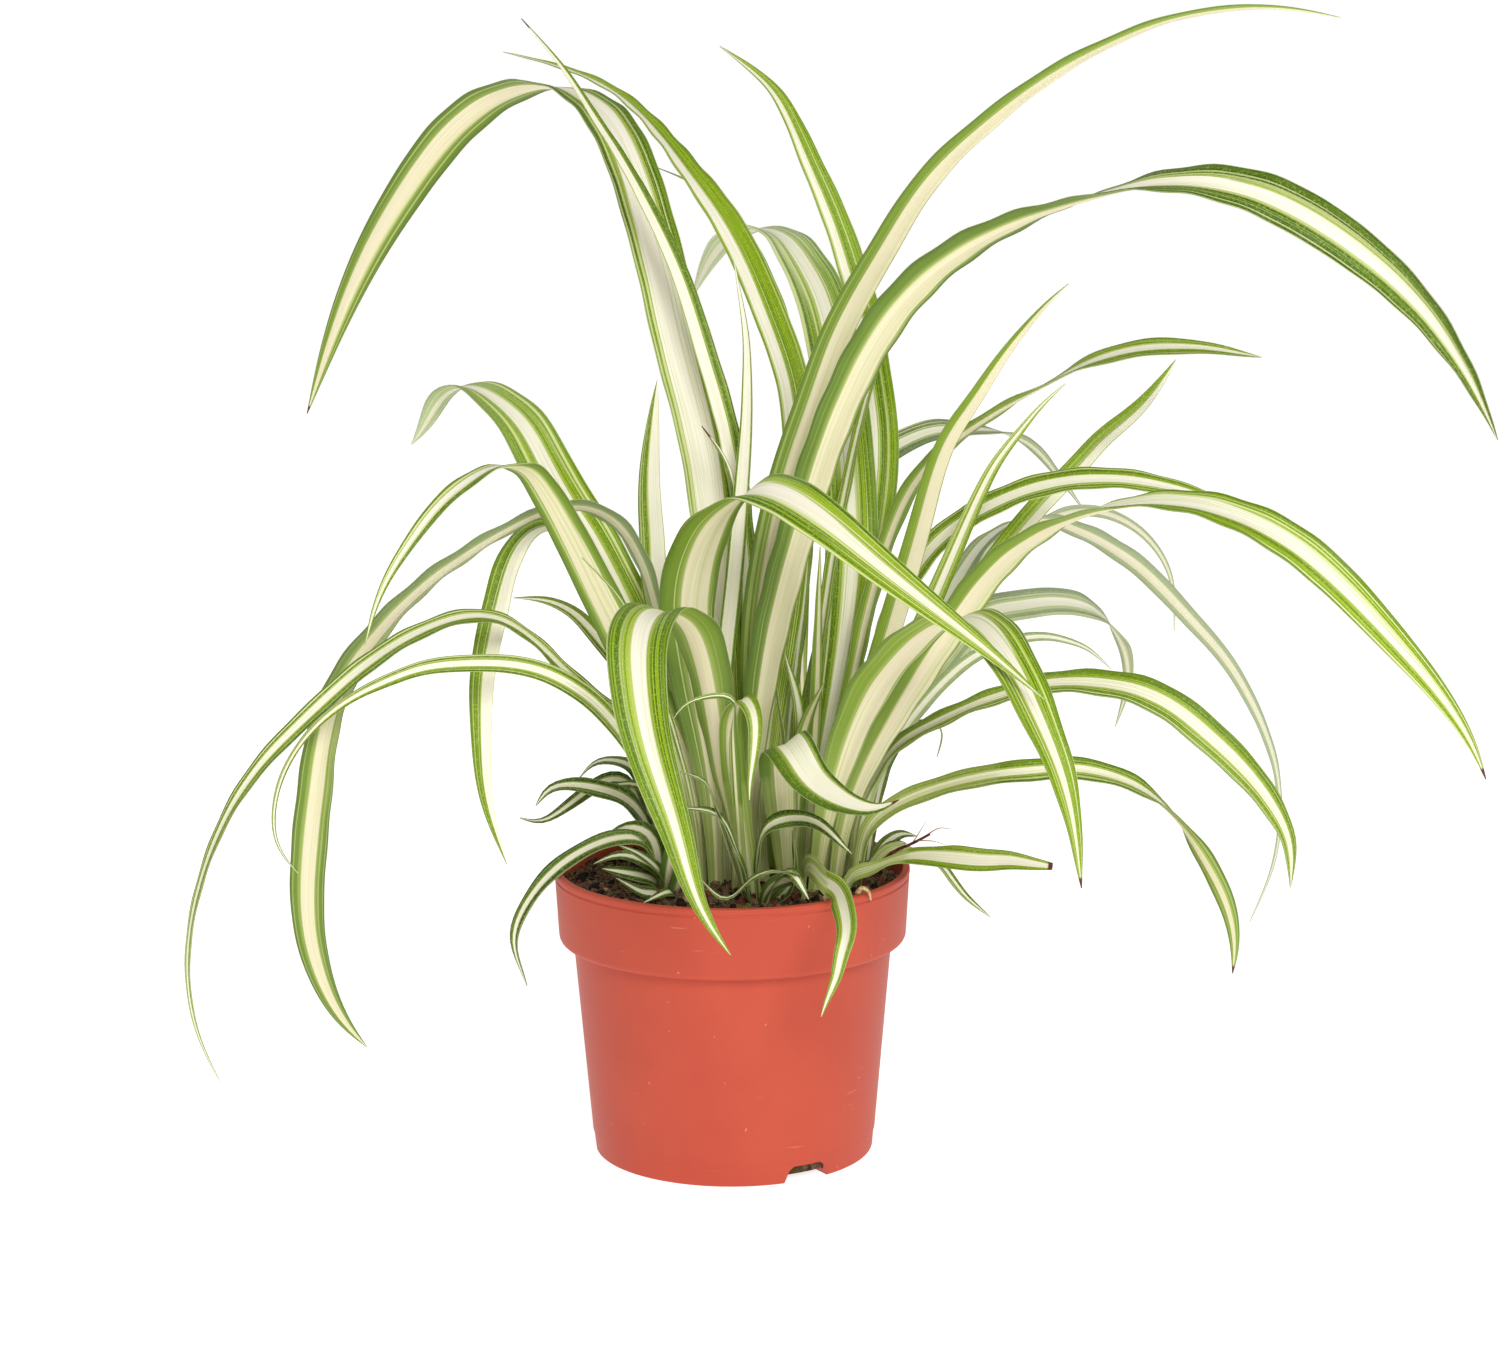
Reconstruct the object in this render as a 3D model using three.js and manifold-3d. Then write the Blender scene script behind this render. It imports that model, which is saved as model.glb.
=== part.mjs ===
// A potted spider plant: a round plastic grower's pot, its soil, some fifty long arching leaves and four
// rosettes of small ones. Millimetres, +Z up. The origin is the middle of the pot's flat underside.
import * as THREE from 'three';
import { mergeVertices } from 'three/addons/utils/BufferGeometryUtils.js';
import Module from 'manifold-3d';

const wasm = await Module();
wasm.setup();

// ---- driving dimensions -------------------------------------------------------------------------

const POT = {
  height: 97.6,
  rimRadius: 60,
  bandFootRadius: 58.6, // the rim's band narrows a little towards its lower edge
  bandHeight: 24.5,
  bandRound: 2.4, // rounding of the band's lower edge
  lipHeight: 2.2, // the bead round the mouth, above a fine groove
  grooveDepth: 0.35,
  bodyTopRadius: 53.9, // the body just under the band
  footRadius: 47.6,
  footRound: 0.7,
  mouldLineHeight: 6.4, // fine step round the foot
  mouldStep: 0.3,
  wall: 1.7,
  lipWall: 2.4,
  floor: 2,
  sides: 48,
};

const NOTCH = {
  directions: [-59, 61, 180], // degrees round the foot
  widthAtFloor: 17,
  widthAtTop: 13,
  height: 5.6,
  reach: 9, // how far it runs in under the floor
};

const SOIL = {
  level: 92.6,
  mound: 1.2, // how much the middle stands above the edge
  bump: 0.8,
  gap: 0.4, // to the pot's wall and floor
  rings: 7,
};

const BLADE = {
  thickness: 0.8,
  tipWidth: 1,
  footWidth: 5,
  footFold: 32, // degrees that each half is lifted, clasping at the foot
  fold: 12, // and the flatter fold further out
  foldEnds: 0.3, // share of the length over which the clasp opens out
  stationTurn: 15, // degrees of bend between two sections
  stationLength: 48, // or millimetres between them on a straight stretch
};

const WELL = {
  floor: 85.7, // 0.3 mm under the feet of the leaves, which all stand at 86
  margin: 1.2, // kept free round everything that stands in it
};

const CROWN = {
  foot: 86,
  top: 93,
  footRadius: 4,
  topRadius: 3,
};

const STALK = {
  thickness: 1.6,
  tip: 0.9,
  path: [[47, 1, 86], [49, 1, 95], [54, 2, 101], [61, 3, 104], [67, 4, 107]],
};

const COLOURS = {
  pot: '#cf5d49',
  soil: '#4f3d2e',
  leaf: '#86a327',
  paleLeaf: '#b9c47f',
  stalk: '#5b3228',
};

// ---- the leaves ---------------------------------------------------------------------------------

// Each long leaf has its greatest width, the share of its length where it reaches it (shoulder), how full
// it stays towards the tip (taper), its turn about its own rib in degrees, evenly spaced from foot to tip,
// and the points that its rib passes through, from the foot in the soil to the tip.

const LEAVES = {
  // tall ones out of the middle
  leaf_tall_1: { width: 8, shoulder: 0.45, taper: 1.4, turn: [-9, -9, -9, -47, -21, -57],
    rib: [[6, 4, 86], [6, 2, 120], [8, 3, 147], [5, 7, 208], [2, 9, 231], [-2, 11, 251], [-8, 15, 270],
      [-13, 20, 287], [-19, 26, 302], [-28, 35, 319], [-36, 43, 333], [-48, 57, 350], [-54, 64, 360],
      [-61, 70, 368], [-71, 76, 379]] },
  leaf_tall_2: { width: 17.5, shoulder: 0.3, taper: 5,
    turn: [-29, -29, -29, -34, -31, -36, -5, 50, 47, 45],
    rib: [[4, 6, 86], [-4, 11, 193], [-7, 17, 233], [-12, 23, 253], [-18, 31, 272], [-21, 39, 288],
      [-23, 45, 298], [-28, 54, 311], [-31, 64, 324], [-37, 77, 337], [-44, 93, 347], [-53, 109, 353],
      [-65, 120, 356], [-79, 130, 354], [-99, 141, 342], [-112, 147, 327], [-124, 152, 310],
      [-131, 155, 300], [-138, 158, 287], [-144, 160, 275], [-150, 162, 261], [-155, 163, 247],
      [-160, 165, 233]] },
  leaf_tall_3: { width: 11.5, shoulder: 0.5, taper: 2, turn: [-31, -31, -31, -31, -31, -48, 0, -5, -13],
    rib: [[13, 8, 86], [12, 10, 125], [21, 17, 192], [23, 31, 252], [20, 37, 264], [16, 43, 274],
      [10, 53, 289], [6, 60, 298], [1, 66, 307], [-5, 73, 316], [-12, 80, 324], [-19, 90, 333],
      [-27, 102, 342], [-41, 118, 354], [-61, 131, 362], [-82, 143, 367]] },
  leaf_tall_4: { width: 6.5, shoulder: 0.4, taper: 2, turn: [35, 30, 5],
    rib: [[17, 13, 86], [18, 17, 130], [26, 36, 210], [17, 74, 282], [-5, 98, 317], [-27, 109, 327]] },
  leaf_tall_5: { width: 18.2, shoulder: 0.4, taper: 4,
    turn: [-16, -16, -16, -16, -16, -16, -25, 0, 23, 55],
    rib: [[22, 11, 86], [40, 19, 185], [41, 24, 212], [37, 46, 260], [35, 54, 270], [32, 66, 283],
      [29, 73, 289], [25, 82, 295], [21, 90, 301], [17, 98, 304], [10, 107, 305], [2, 116, 303],
      [-4, 123, 298], [-9, 131, 290], [-14, 139, 278]] },
  leaf_tall_6: { width: 11.5, shoulder: 0.4, taper: 3, turn: [-25, -25, -25, -25, -26, -19, -13, -10],
    rib: [[27, 18, 86], [34, 24, 129], [52, 38, 225], [52, 45, 243], [49, 57, 263], [48, 65, 275],
      [44, 74, 288], [40, 78, 302], [35, 79, 315], [29, 82, 328], [23, 87, 342], [17, 93, 354],
      [-3, 104, 369]] },
  leaf_tall_7: { width: 11.5, shoulder: 0.3, taper: 1.6,
    turn: [-73, -73, -73, -73, -73, -75, -60, -49, -23, -86],
    rib: [[11, -4, 86], [8, -6, 121], [9, -15, 184], [20, -20, 238], [25, -22, 251], [29, -25, 264],
      [33, -28, 277], [39, -32, 289], [46, -35, 301], [53, -39, 313], [60, -43, 326], [71, -47, 338],
      [85, -52, 350], [102, -57, 363], [116, -61, 370], [133, -66, 378], [144, -68, 380],
      [163, -71, 382], [179, -73, 380], [186, -74, 378]] },
  leaf_tall_8: { width: 15.2, shoulder: 0.25, taper: 8,
    turn: [-32, -32, -32, -32, -32, -44, -34, -7, 38, 88, 108, 127],
    rib: [[7, -9, 86], [6, -11, 109], [13, -18, 175], [32, -33, 246], [37, -36, 259], [43, -40, 272],
      [50, -45, 285], [61, -50, 298], [68, -54, 304], [77, -57, 310], [87, -61, 315], [99, -66, 320],
      [110, -71, 323], [120, -75, 327], [137, -82, 330], [148, -86, 329], [158, -89, 328],
      [175, -98, 319], [185, -103, 313], [194, -107, 306], [203, -110, 298], [210, -112, 290],
      [219, -115, 276], [226, -118, 263], [228, -120, 255]] },
  leaf_tall_9: { width: 6, shoulder: 0.5, taper: 1.6, turn: [-1, -1, -1, -1, -3],
    rib: [[-1, -6, 86], [-3, -8, 150], [2, -6, 203], [5, 0, 238], [6, 3, 252], [6, 6, 264], [6, 9, 275],
      [4, 13, 287], [2, 17, 299]] },
  leaf_tall_10: { width: 6, shoulder: 0.4, taper: 2, turn: [5, 5, 5],
    rib: [[27, 6, 86], [28, 8, 153], [46, 24, 252], [63, 33, 296]] },
  leaf_tall_11: { width: 9, shoulder: 0.4, taper: 4, turn: [-52, -52, -52, -52, -52, -53],
    rib: [[-6, 6, 86], [-8, 9, 118], [-26, 13, 194], [-26, 14, 204], [-27, 15, 218], [-27, 16, 230],
      [-26, 17, 242], [-25, 18, 252], [-24, 19, 260]] },
  leaf_tall_12: { width: 4.5, shoulder: 0.4, taper: 2, turn: [-95, -100, -85],
    rib: [[-1, -1, 86], [-3, -1, 161], [2, -2, 189], [0, 2, 232], [-9, -4, 247]] },

  // those that lean or arch to the right
  leaf_right_1: { width: 8.5, shoulder: 0.4, taper: 2, turn: [-90, -90, -90, -90, -90, -90, -92],
    rib: [[27, -5, 86], [36, -9, 123], [60, -9, 205], [71, -12, 243], [80, -13, 256], [84, -14, 263],
      [88, -14, 269], [93, -15, 276], [98, -16, 282], [104, -16, 289], [110, -17, 294]] },
  leaf_right_2: { width: 7, shoulder: 0.4, taper: 2, turn: [91, 91, 91, 90],
    rib: [[30, -1, 86], [39, 0, 123], [63, -2, 178], [88, -8, 236], [93, -8, 242], [98, -9, 249],
      [104, -10, 256], [110, -10, 261]] },
  leaf_right_3: { width: 8.5, shoulder: 0.4, taper: 6, turn: [-39, -39, -39, -39, -39, -17, 62, 48],
    rib: [[31, 10, 86], [37, 8, 139], [62, 14, 226], [90, 10, 250], [99, 9, 255], [111, 6, 262],
      [118, 5, 266], [126, 3, 269], [133, 2, 271], [141, 0, 272], [149, -2, 272], [158, -4, 272],
      [166, -6, 270], [174, -8, 269]] },
  leaf_right_4: { width: 7.4, shoulder: 0.4, taper: 6, turn: [63, 63, 63, 63, 61],
    rib: [[36, 8, 86], [45, 11, 131], [73, 17, 176], [103, 35, 212], [121, 43, 229], [127, 46, 236],
      [136, 49, 242], [144, 52, 249], [149, 55, 255], [154, 57, 262]] },
  leaf_right_5: { width: 10.5, shoulder: 0.4, taper: 2, turn: [43, 43, 43, 43, 43, 71, 71, -55, -50],
    rib: [[29, 25, 86], [31, 29, 128], [36, 41, 163], [41, 59, 192], [49, 92, 220], [61, 111, 227],
      [71, 122, 230], [80, 132, 230], [90, 141, 228], [100, 148, 227], [108, 154, 224], [116, 161, 218],
      [123, 168, 208], [129, 173, 201], [135, 177, 192]] },
  leaf_right_6: { width: 10, shoulder: 0.4, taper: 3, turn: [35, 60, 55, 40],
    rib: [[33, 4, 86], [44, 8, 139], [63, 9, 199], [92, 8, 221], [125, -4, 229], [161, -19, 222],
      [182, -26, 209]] },
  leaf_right_7: { width: 14.4, shoulder: 0.3, taper: 4, turn: [-41, -41, -41, -41, -37, 4, 28, 72, 72, 73],
    rib: [[34, -9, 86], [40, -15, 123], [74, -33, 187], [88, -44, 208], [99, -51, 217], [111, -58, 224],
      [122, -64, 228], [140, -70, 230], [156, -76, 227], [172, -82, 220], [185, -86, 210],
      [196, -89, 199], [204, -91, 190], [215, -94, 178], [221, -96, 170], [230, -99, 156],
      [232, -101, 148]] },
  leaf_right_8: { width: 6.5, shoulder: 0.4, taper: 2, turn: [34, 34, 34, 34, 34, -101, -66, -46],
    rib: [[33, 29, 86], [41, 38, 122], [59, 59, 150], [79, 98, 172], [99, 127, 189], [115, 142, 194],
      [128, 153, 196], [139, 162, 195], [148, 168, 191], [156, 172, 186], [162, 176, 179],
      [167, 180, 172], [170, 183, 164], [171, 185, 155], [171, 187, 144]] },
  leaf_right_9: { width: 12, shoulder: 0.3, taper: 1.1, turn: [-7, -7, -7, -7, -14, -56, -50, -106, -37],
    rib: [[34, 15, 86], [37, 18, 123], [66, 28, 167], [88, 49, 201], [111, 78, 204], [122, 88, 199],
      [141, 101, 188], [157, 109, 174], [166, 113, 163], [177, 117, 152], [185, 120, 142],
      [191, 123, 131], [197, 125, 120], [204, 128, 100], [205, 129, 88], [205, 131, 70], [202, 133, 58],
      [195, 135, 41]] },
  leaf_right_10: { width: 11.5, shoulder: 0.4, taper: 2, turn: [50, 50, 50, 50, 49, 73, 45, -43, -26],
    rib: [[37, 19, 86], [43, 22, 118], [59, 33, 142], [89, 59, 174], [98, 67, 174], [106, 74, 174],
      [113, 81, 174], [121, 88, 172], [129, 96, 169], [139, 109, 159], [144, 116, 151], [147, 125, 137],
      [146, 129, 129], [143, 134, 117]] },
  leaf_right_11: { width: 5, shoulder: 0.4, taper: 2, turn: [71, 71, 71, 71, 84, 113],
    rib: [[39, 0, 86], [48, 3, 127], [79, 32, 160], [99, 48, 166], [105, 53, 166], [112, 59, 165],
      [120, 64, 162], [126, 69, 159], [135, 76, 150]] },
  leaf_right_12: { width: 21.2, shoulder: 0.4, taper: 2.2, turn: [0],
    rib: [[27, -16, 86], [33, -23, 124], [47, -36, 164], [71, -74, 194], [82, -104, 191], [93, -122, 171],
      [101, -130, 150], [105, -135, 123]] },
  leaf_right_13: { width: 11.8, shoulder: 0.4, taper: 5, turn: [35, 35, 35, 23, 27, 42, 73, 51, 51],
    rib: [[41, -6, 86], [43, -8, 117], [51, -4, 133], [56, -6, 141], [65, -9, 146], [73, -13, 151],
      [82, -17, 156], [92, -21, 160], [103, -25, 164], [112, -28, 165], [121, -31, 165], [131, -34, 164],
      [143, -37, 159], [153, -40, 151], [164, -42, 141], [174, -45, 129], [181, -47, 116],
      [181, -49, 101]] },
  leaf_right_14: { width: 8, shoulder: 0.3, taper: 6,
    turn: [59, 59, 46, 41, 53, 52, 13, -65, -110, -106],
    rib: [[42, -14, 86], [43, -14, 102], [46, -18, 116], [53, -21, 122], [64, -24, 128], [72, -27, 131],
      [81, -30, 134], [89, -33, 136], [97, -35, 137], [111, -39, 139], [120, -42, 138], [132, -46, 134],
      [141, -49, 127], [148, -53, 119], [152, -55, 112], [156, -57, 106], [159, -59, 99], [161, -60, 93],
      [162, -61, 81], [161, -62, 76]] },
  leaf_right_15: { width: 8, shoulder: 0.5, taper: 2, turn: [67, 65, 31, 22, 64, 82, 80, 79],
    rib: [[37, -18, 86], [40, -18, 98], [46, -22, 101], [53, -27, 105], [61, -32, 108], [71, -38, 109],
      [83, -46, 110], [90, -50, 111], [97, -55, 111], [103, -59, 111]] },
  leaf_right_16: { width: 4, shoulder: 0.4, taper: 2, turn: [40, 40, 47, 93, 107],
    rib: [[42, 6, 86], [54, 14, 100], [65, 21, 95], [71, 25, 92], [76, 29, 85], [81, 32, 78],
      [86, 35, 73], [90, 38, 69]] },
  leaf_right_17: { width: 8.8, shoulder: 0.4, taper: 2, turn: [89, 89, 110, 47, 7, 11],
    rib: [[24, -25, 86], [25, -35, 106], [31, -53, 105], [34, -63, 105], [36, -81, 102], [36, -93, 97],
      [34, -97, 92], [33, -98, 86], [30, -98, 79], [28, -98, 73]] },

  // those that arch to the left
  leaf_left_1: { width: 18, shoulder: 0.3, taper: 5,
    turn: [-35, -35, -35, -35, -35, -45, -51, -21, -2, 56],
    rib: [[-9, 11, 86], [-11, 13, 121], [-47, 23, 205], [-55, 30, 216], [-66, 42, 234], [-70, 46, 241],
      [-77, 52, 247], [-86, 61, 252], [-97, 71, 253], [-104, 77, 245], [-110, 80, 234],
      [-113, 82, 231]] },
  leaf_left_2: { width: 13.5, shoulder: 0.3, taper: 1.6, turn: [49, 49, 49, 49, 49, 53, 31, -13, -33, -64],
    rib: [[-10, -7, 86], [-12, -12, 123], [-23, -15, 151], [-44, -26, 198], [-50, -32, 212],
      [-57, -43, 228], [-61, -50, 236], [-64, -58, 241], [-75, -72, 242], [-79, -77, 240],
      [-83, -82, 237], [-89, -88, 233], [-93, -92, 228], [-97, -95, 222], [-102, -99, 216],
      [-105, -102, 210], [-108, -105, 203], [-110, -108, 193]] },
  leaf_left_3: { width: 12.3, shoulder: 0.68, taper: 3.5,
    turn: [-4, -4, -4, -1, 30, 35, 59, 86, 104, 106],
    rib: [[-12, 2, 86], [-14, 2, 134], [-21, 4, 167], [-31, -3, 207], [-43, -11, 222], [-62, -22, 221],
      [-74, -29, 215], [-87, -37, 208], [-99, -44, 200], [-111, -51, 188], [-118, -56, 180],
      [-128, -63, 163], [-130, -68, 146], [-132, -73, 131], [-133, -76, 119], [-134, -79, 106],
      [-133, -82, 94], [-127, -86, 76], [-119, -88, 63], [-115, -88, 61]] },
  leaf_left_4: { width: 9.5, shoulder: 0.5, taper: 3, turn: [-36, -36, -36, -36, -21, -63, -68, -69],
    rib: [[-15, -3, 86], [-15, -4, 121], [-48, -7, 207], [-58, -11, 217], [-69, -18, 212], [-74, -24, 199],
      [-77, -29, 187], [-81, -34, 168], [-81, -36, 155], [-81, -38, 143], [-80, -40, 130], [-76, -42, 117],
      [-73, -43, 109]] },
  leaf_left_5: { width: 7, shoulder: 0.5, taper: 1.3,
    turn: [-66, -66, -66, -35, -19, -69, -15, -17, -76],
    rib: [[-16, -10, 86], [-17, -14, 123], [-28, -19, 145], [-50, -31, 166], [-63, -39, 182],
      [-77, -49, 193], [-98, -60, 189], [-117, -70, 178], [-132, -77, 165], [-145, -81, 153],
      [-157, -86, 136], [-166, -91, 113], [-169, -93, 99], [-170, -94, 83], [-166, -97, 64],
      [-160, -98, 53]] },
  leaf_left_6: { width: 6.5, shoulder: 0.4, taper: 1.3, turn: [-81, -81, -81, -104, -85, -123, -127, -64],
    rib: [[-14, -17, 86], [-21, -21, 120], [-41, -36, 158], [-49, -40, 166], [-61, -46, 174],
      [-73, -51, 177], [-86, -57, 178], [-98, -63, 178], [-110, -69, 174], [-122, -75, 169],
      [-135, -82, 157], [-140, -85, 148], [-142, -88, 140], [-142, -91, 127], [-134, -95, 119]] },
  leaf_left_7: { width: 6, shoulder: 0.4, taper: 4, turn: [-90, -90, -90, -90, -132],
    rib: [[-16, 6, 86], [-18, 8, 122], [-27, 8, 150], [-46, 4, 177], [-52, 3, 184], [-61, 0, 189],
      [-72, -3, 190]] },
  leaf_left_8: { width: 3, shoulder: 0.4, taper: 2, turn: [-70, -65, -50],
    rib: [[-10, -16, 86], [-14, -19, 127], [-34, -38, 193], [-47, -46, 210]] },

  // those that arch to the front
  leaf_front_1: { width: 19.5, shoulder: 0.4, taper: 1.6,
    turn: [-21, -21, -21, -21, -29, 14, 60, 58, 59, 57],
    rib: [[-5, -12, 86], [-6, -16, 124], [-14, -26, 191], [-12, -29, 202], [-8, -37, 215], [-1, -45, 225],
      [9, -55, 233], [29, -75, 226], [43, -87, 216], [60, -101, 204], [76, -113, 193], [84, -119, 187],
      [89, -123, 183], [94, -127, 179]] },
  leaf_front_2: { width: 22, shoulder: 0.4, taper: 2, turn: [-48, -48, -48, -45, -18, -30, -22, -22, -20],
    rib: [[0, -17, 86], [1, -17, 110], [-4, -24, 135], [-6, -30, 154], [-9, -38, 173], [-12, -47, 186],
      [-18, -61, 194], [-25, -78, 197], [-28, -87, 192], [-27, -99, 172], [-23, -107, 156],
      [-17, -112, 139], [-12, -115, 121], [-9, -117, 112], [-3, -119, 103], [0, -120, 99]] },
  leaf_front_3: { width: 16, shoulder: 0.5, taper: 2, turn: [0],
    rib: [[19, -14, 86], [17, -36, 146], [20, -49, 147], [27, -59, 138], [45, -74, 133], [53, -76, 137]] },
  leaf_front_4: { width: 8.4, shoulder: 0.4, taper: 2, turn: [-17, -17, -17, -14, -5, 71, 50, 51],
    rib: [[8, -19, 86], [1, -31, 134], [0, -36, 148], [1, -41, 159], [4, -45, 164], [8, -55, 160],
      [8, -57, 153], [7, -59, 145], [6, -61, 139], [6, -62, 134]] },
  leaf_front_5: { width: 3.6, shoulder: 0.4, taper: 2, turn: [15, 15, 15, 15, -107, -78],
    rib: [[4, -20, 86], [1, -49, 157], [2, -52, 164], [-2, -55, 167], [-7, -58, 167], [-13, -61, 166],
      [-17, -64, 163], [-18, -65, 161]] },

  // those that arch to the back
  leaf_back_1: { width: 11, shoulder: 0.4, taper: 2, turn: [0],
    rib: [[14, 19, 86], [15, 24, 115], [17, 38, 147], [21, 62, 167], [24, 125, 173], [27, 172, 113]] },
  leaf_back_2: { width: 10, shoulder: 0.4, taper: 2, turn: [0],
    rib: [[6, 15, 86], [9, 33, 151], [14, 82, 184], [13, 114, 178], [10, 152, 138]] },
  leaf_back_3: { width: 10, shoulder: 0.4, taper: 2, turn: [0],
    rib: [[19, 22, 86], [29, 46, 145], [40, 107, 166], [45, 135, 160], [50, 166, 121]] },

  // short young ones, still upright in the heart
  leaf_heart_1: { width: 7, shoulder: 0.4, taper: 2, turn: [-35],
    rib: [[14, -8, 86], [18, -12, 123], [14, -8, 169]] },
  leaf_heart_2: { width: 8, shoulder: 0.4, taper: 2, turn: [-45],
    rib: [[20, -5, 86], [24, -6, 144], [31, -9, 162]] },
  leaf_heart_3: { width: 7, shoulder: 0.4, taper: 2, turn: [40],
    rib: [[17, 3, 86], [23, 3, 147], [18, 8, 169]] },
  leaf_heart_4: { width: 5, shoulder: 0.4, taper: 2, turn: [-80],
    rib: [[24, -1, 86], [28, 0, 141], [30, 1, 206]] },
};

// Small leaves of the young rosettes, each rosette on a crown of its own: width, turn and rib.

const ROSETTES = {
  rosette_left: { crown: [-27, 9], leaves: [
    { width: 6, turn: [-45], rib: [[-27, 10, 87], [-35, 9, 124], [-42, 6, 126], [-64, -5, 114],
      [-71, -7, 116]] },
    { width: 8.5, turn: [-45], rib: [[-28, 8, 87], [-28, 6, 107], [-37, -3, 122], [-60, -14, 128],
      [-65, -16, 122]] },
    { width: 6, turn: [-40], rib: [[-25, 10, 87], [-29, 15, 117], [-33, 19, 127], [-46, 27, 128],
      [-53, 30, 121]] },
    { width: 5, turn: [-45], rib: [[-26, 9, 87], [-27, 9, 113], [-31, 6, 124], [-42, 1, 125]] },
  ] },
  rosette_front_left: { crown: [-24, -11], leaves: [
    { width: 6.5, turn: [-45], rib: [[-25, -10, 87], [-28, -10, 108], [-37, -11, 110], [-55, -14, 103],
      [-69, -16, 88],
      [-73, -16, 76], [-69, -15, 60]] },
    { width: 7, turn: [-45], rib: [[-24, -9, 87], [-27, -9, 110], [-34, -8, 113], [-44, -4, 107]] },
    { width: 4.5, turn: [-45], rib: [[-25, -11, 87], [-24, -13, 98], [-37, -15, 105], [-46, -15, 102]] },
    { width: 7, turn: [-35], rib: [[-23, -12, 87], [-22, -16, 95], [-30, -25, 107], [-37, -27, 111]] },
    { width: 6, turn: [-45], rib: [[-25, -12, 87], [-25, -14, 95], [-43, -22, 102]] },
    { width: 5, turn: [-25], rib: [[-24, -13, 87], [-25, -21, 93], [-30, -27, 95], [-38, -31, 101]] },
    { width: 4, turn: [-15], rib: [[-22, -13, 87], [-20, -25, 94], [-22, -35, 97], [-29, -41, 95]] },
    { width: 6.5, turn: [-20], rib: [[-22, -12, 87], [-21, -23, 99], [-18, -30, 120]] },
    { width: 6.5, turn: [0], rib: [[-22, -13, 87], [-17, -27, 99], [-14, -32, 121]] },
  ] },
  rosette_front: { crown: [8, -28], leaves: [
    { width: 9.5, turn: [-30], rib: [[7, -29, 87], [1, -41, 113], [-4, -41, 124], [-17, -46, 128]] },
    { width: 7, turn: [-30], rib: [[6, -28, 87], [-5, -40, 126], [-8, -41, 135], [-17, -45, 140]] },
    { width: 8, turn: [40], rib: [[9, -28, 87], [9, -32, 109], [12, -36, 119], [26, -43, 123],
      [39, -49, 113]] },
    { width: 6, turn: [30], rib: [[9, -29, 87], [13, -38, 100], [21, -43, 104], [16, -47, 107],
      [8, -50, 106],
      [-2, -51, 98], [-11, -49, 106]] },
    { width: 6.5, turn: [30], rib: [[10, -29, 87], [14, -38, 100], [19, -43, 106], [25, -49, 98]] },
    { width: 8, turn: [40], rib: [[10, -27, 87], [21, -30, 100], [20, -32, 117]] },
  ] },
  rosette_right: { crown: [46, 16], leaves: [
    { width: 5, turn: [40], rib: [[46, 17, 87], [51, 20, 98], [58, 29, 101], [64, 35, 99]] },
    { width: 4, turn: [40], rib: [[45, 17, 87], [50, 36, 111], [57, 65, 123], [71, 98, 127], [77, 107, 121],
      [75, 110, 111]] },
    { width: 4, turn: [40], rib: [[47, 16, 87], [52, 17, 98], [56, 20, 100], [60, 24, 99]] },
  ] },
};

// ---- helpers ------------------------------------------------------------------------------------

const degrees = THREE.MathUtils.degToRad;
const vector = ([x, y, z]) => new THREE.Vector3(x, y, z);
const smooth = (t) => t * t * (3 - 2 * t);

function interpolate(values, share) {
  const place = share * (values.length - 1);
  const low = Math.min(Math.floor(place), Math.max(values.length - 2, 0));
  const high = Math.min(low + 1, values.length - 1);
  return THREE.MathUtils.lerp(values[low], values[high], place - low);
}

// A BufferGeometry with shared corners and no triangle that has shrunk to a line.
function weld(geometry) {
  const bare = geometry.clone();
  bare.deleteAttribute('normal');
  bare.deleteAttribute('uv');
  const merged = mergeVertices(bare, 1e-4);
  const index = merged.index.array;
  const kept = [];
  for (let i = 0; i < index.length; i += 3) {
    const [a, b, c] = [index[i], index[i + 1], index[i + 2]];
    if (a !== b && b !== c && c !== a) kept.push(a, b, c);
  }
  merged.setIndex(kept);
  return merged;
}

function solidOf(geometry) {
  const welded = weld(geometry);
  return new wasm.Manifold(new wasm.Mesh({
    numProp: 3,
    vertProperties: new Float32Array(welded.attributes.position.array),
    triVerts: new Uint32Array(welded.index.array),
  }));
}

function geometryOf(solid) {
  const mesh = solid.getMesh();
  const geometry = new THREE.BufferGeometry();
  geometry.setAttribute('position', new THREE.BufferAttribute(new Float32Array(mesh.vertProperties), 3));
  geometry.setIndex(new THREE.BufferAttribute(new Uint32Array(mesh.triVerts), 1));
  return geometry;
}

function named(name, geometry, colour, roughness) {
  const material = new THREE.MeshStandardMaterial({ color: colour, roughness, metalness: 0 });
  const mesh = new THREE.Mesh(geometry, material);
  mesh.name = name;
  return mesh;
}

// ---- blades -------------------------------------------------------------------------------------

// The blade's width at a share of its length.
function bladeWidth(leaf, share) {
  const foot = Math.min(leaf.foot ?? BLADE.footWidth, leaf.width);
  if (share < leaf.shoulder) return THREE.MathUtils.lerp(foot, leaf.width, smooth(share / leaf.shoulder));
  const out = (share - leaf.shoulder) / (1 - leaf.shoulder);
  return THREE.MathUtils.lerp(BLADE.tipWidth, leaf.width, 1 - out ** leaf.taper);
}

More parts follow.
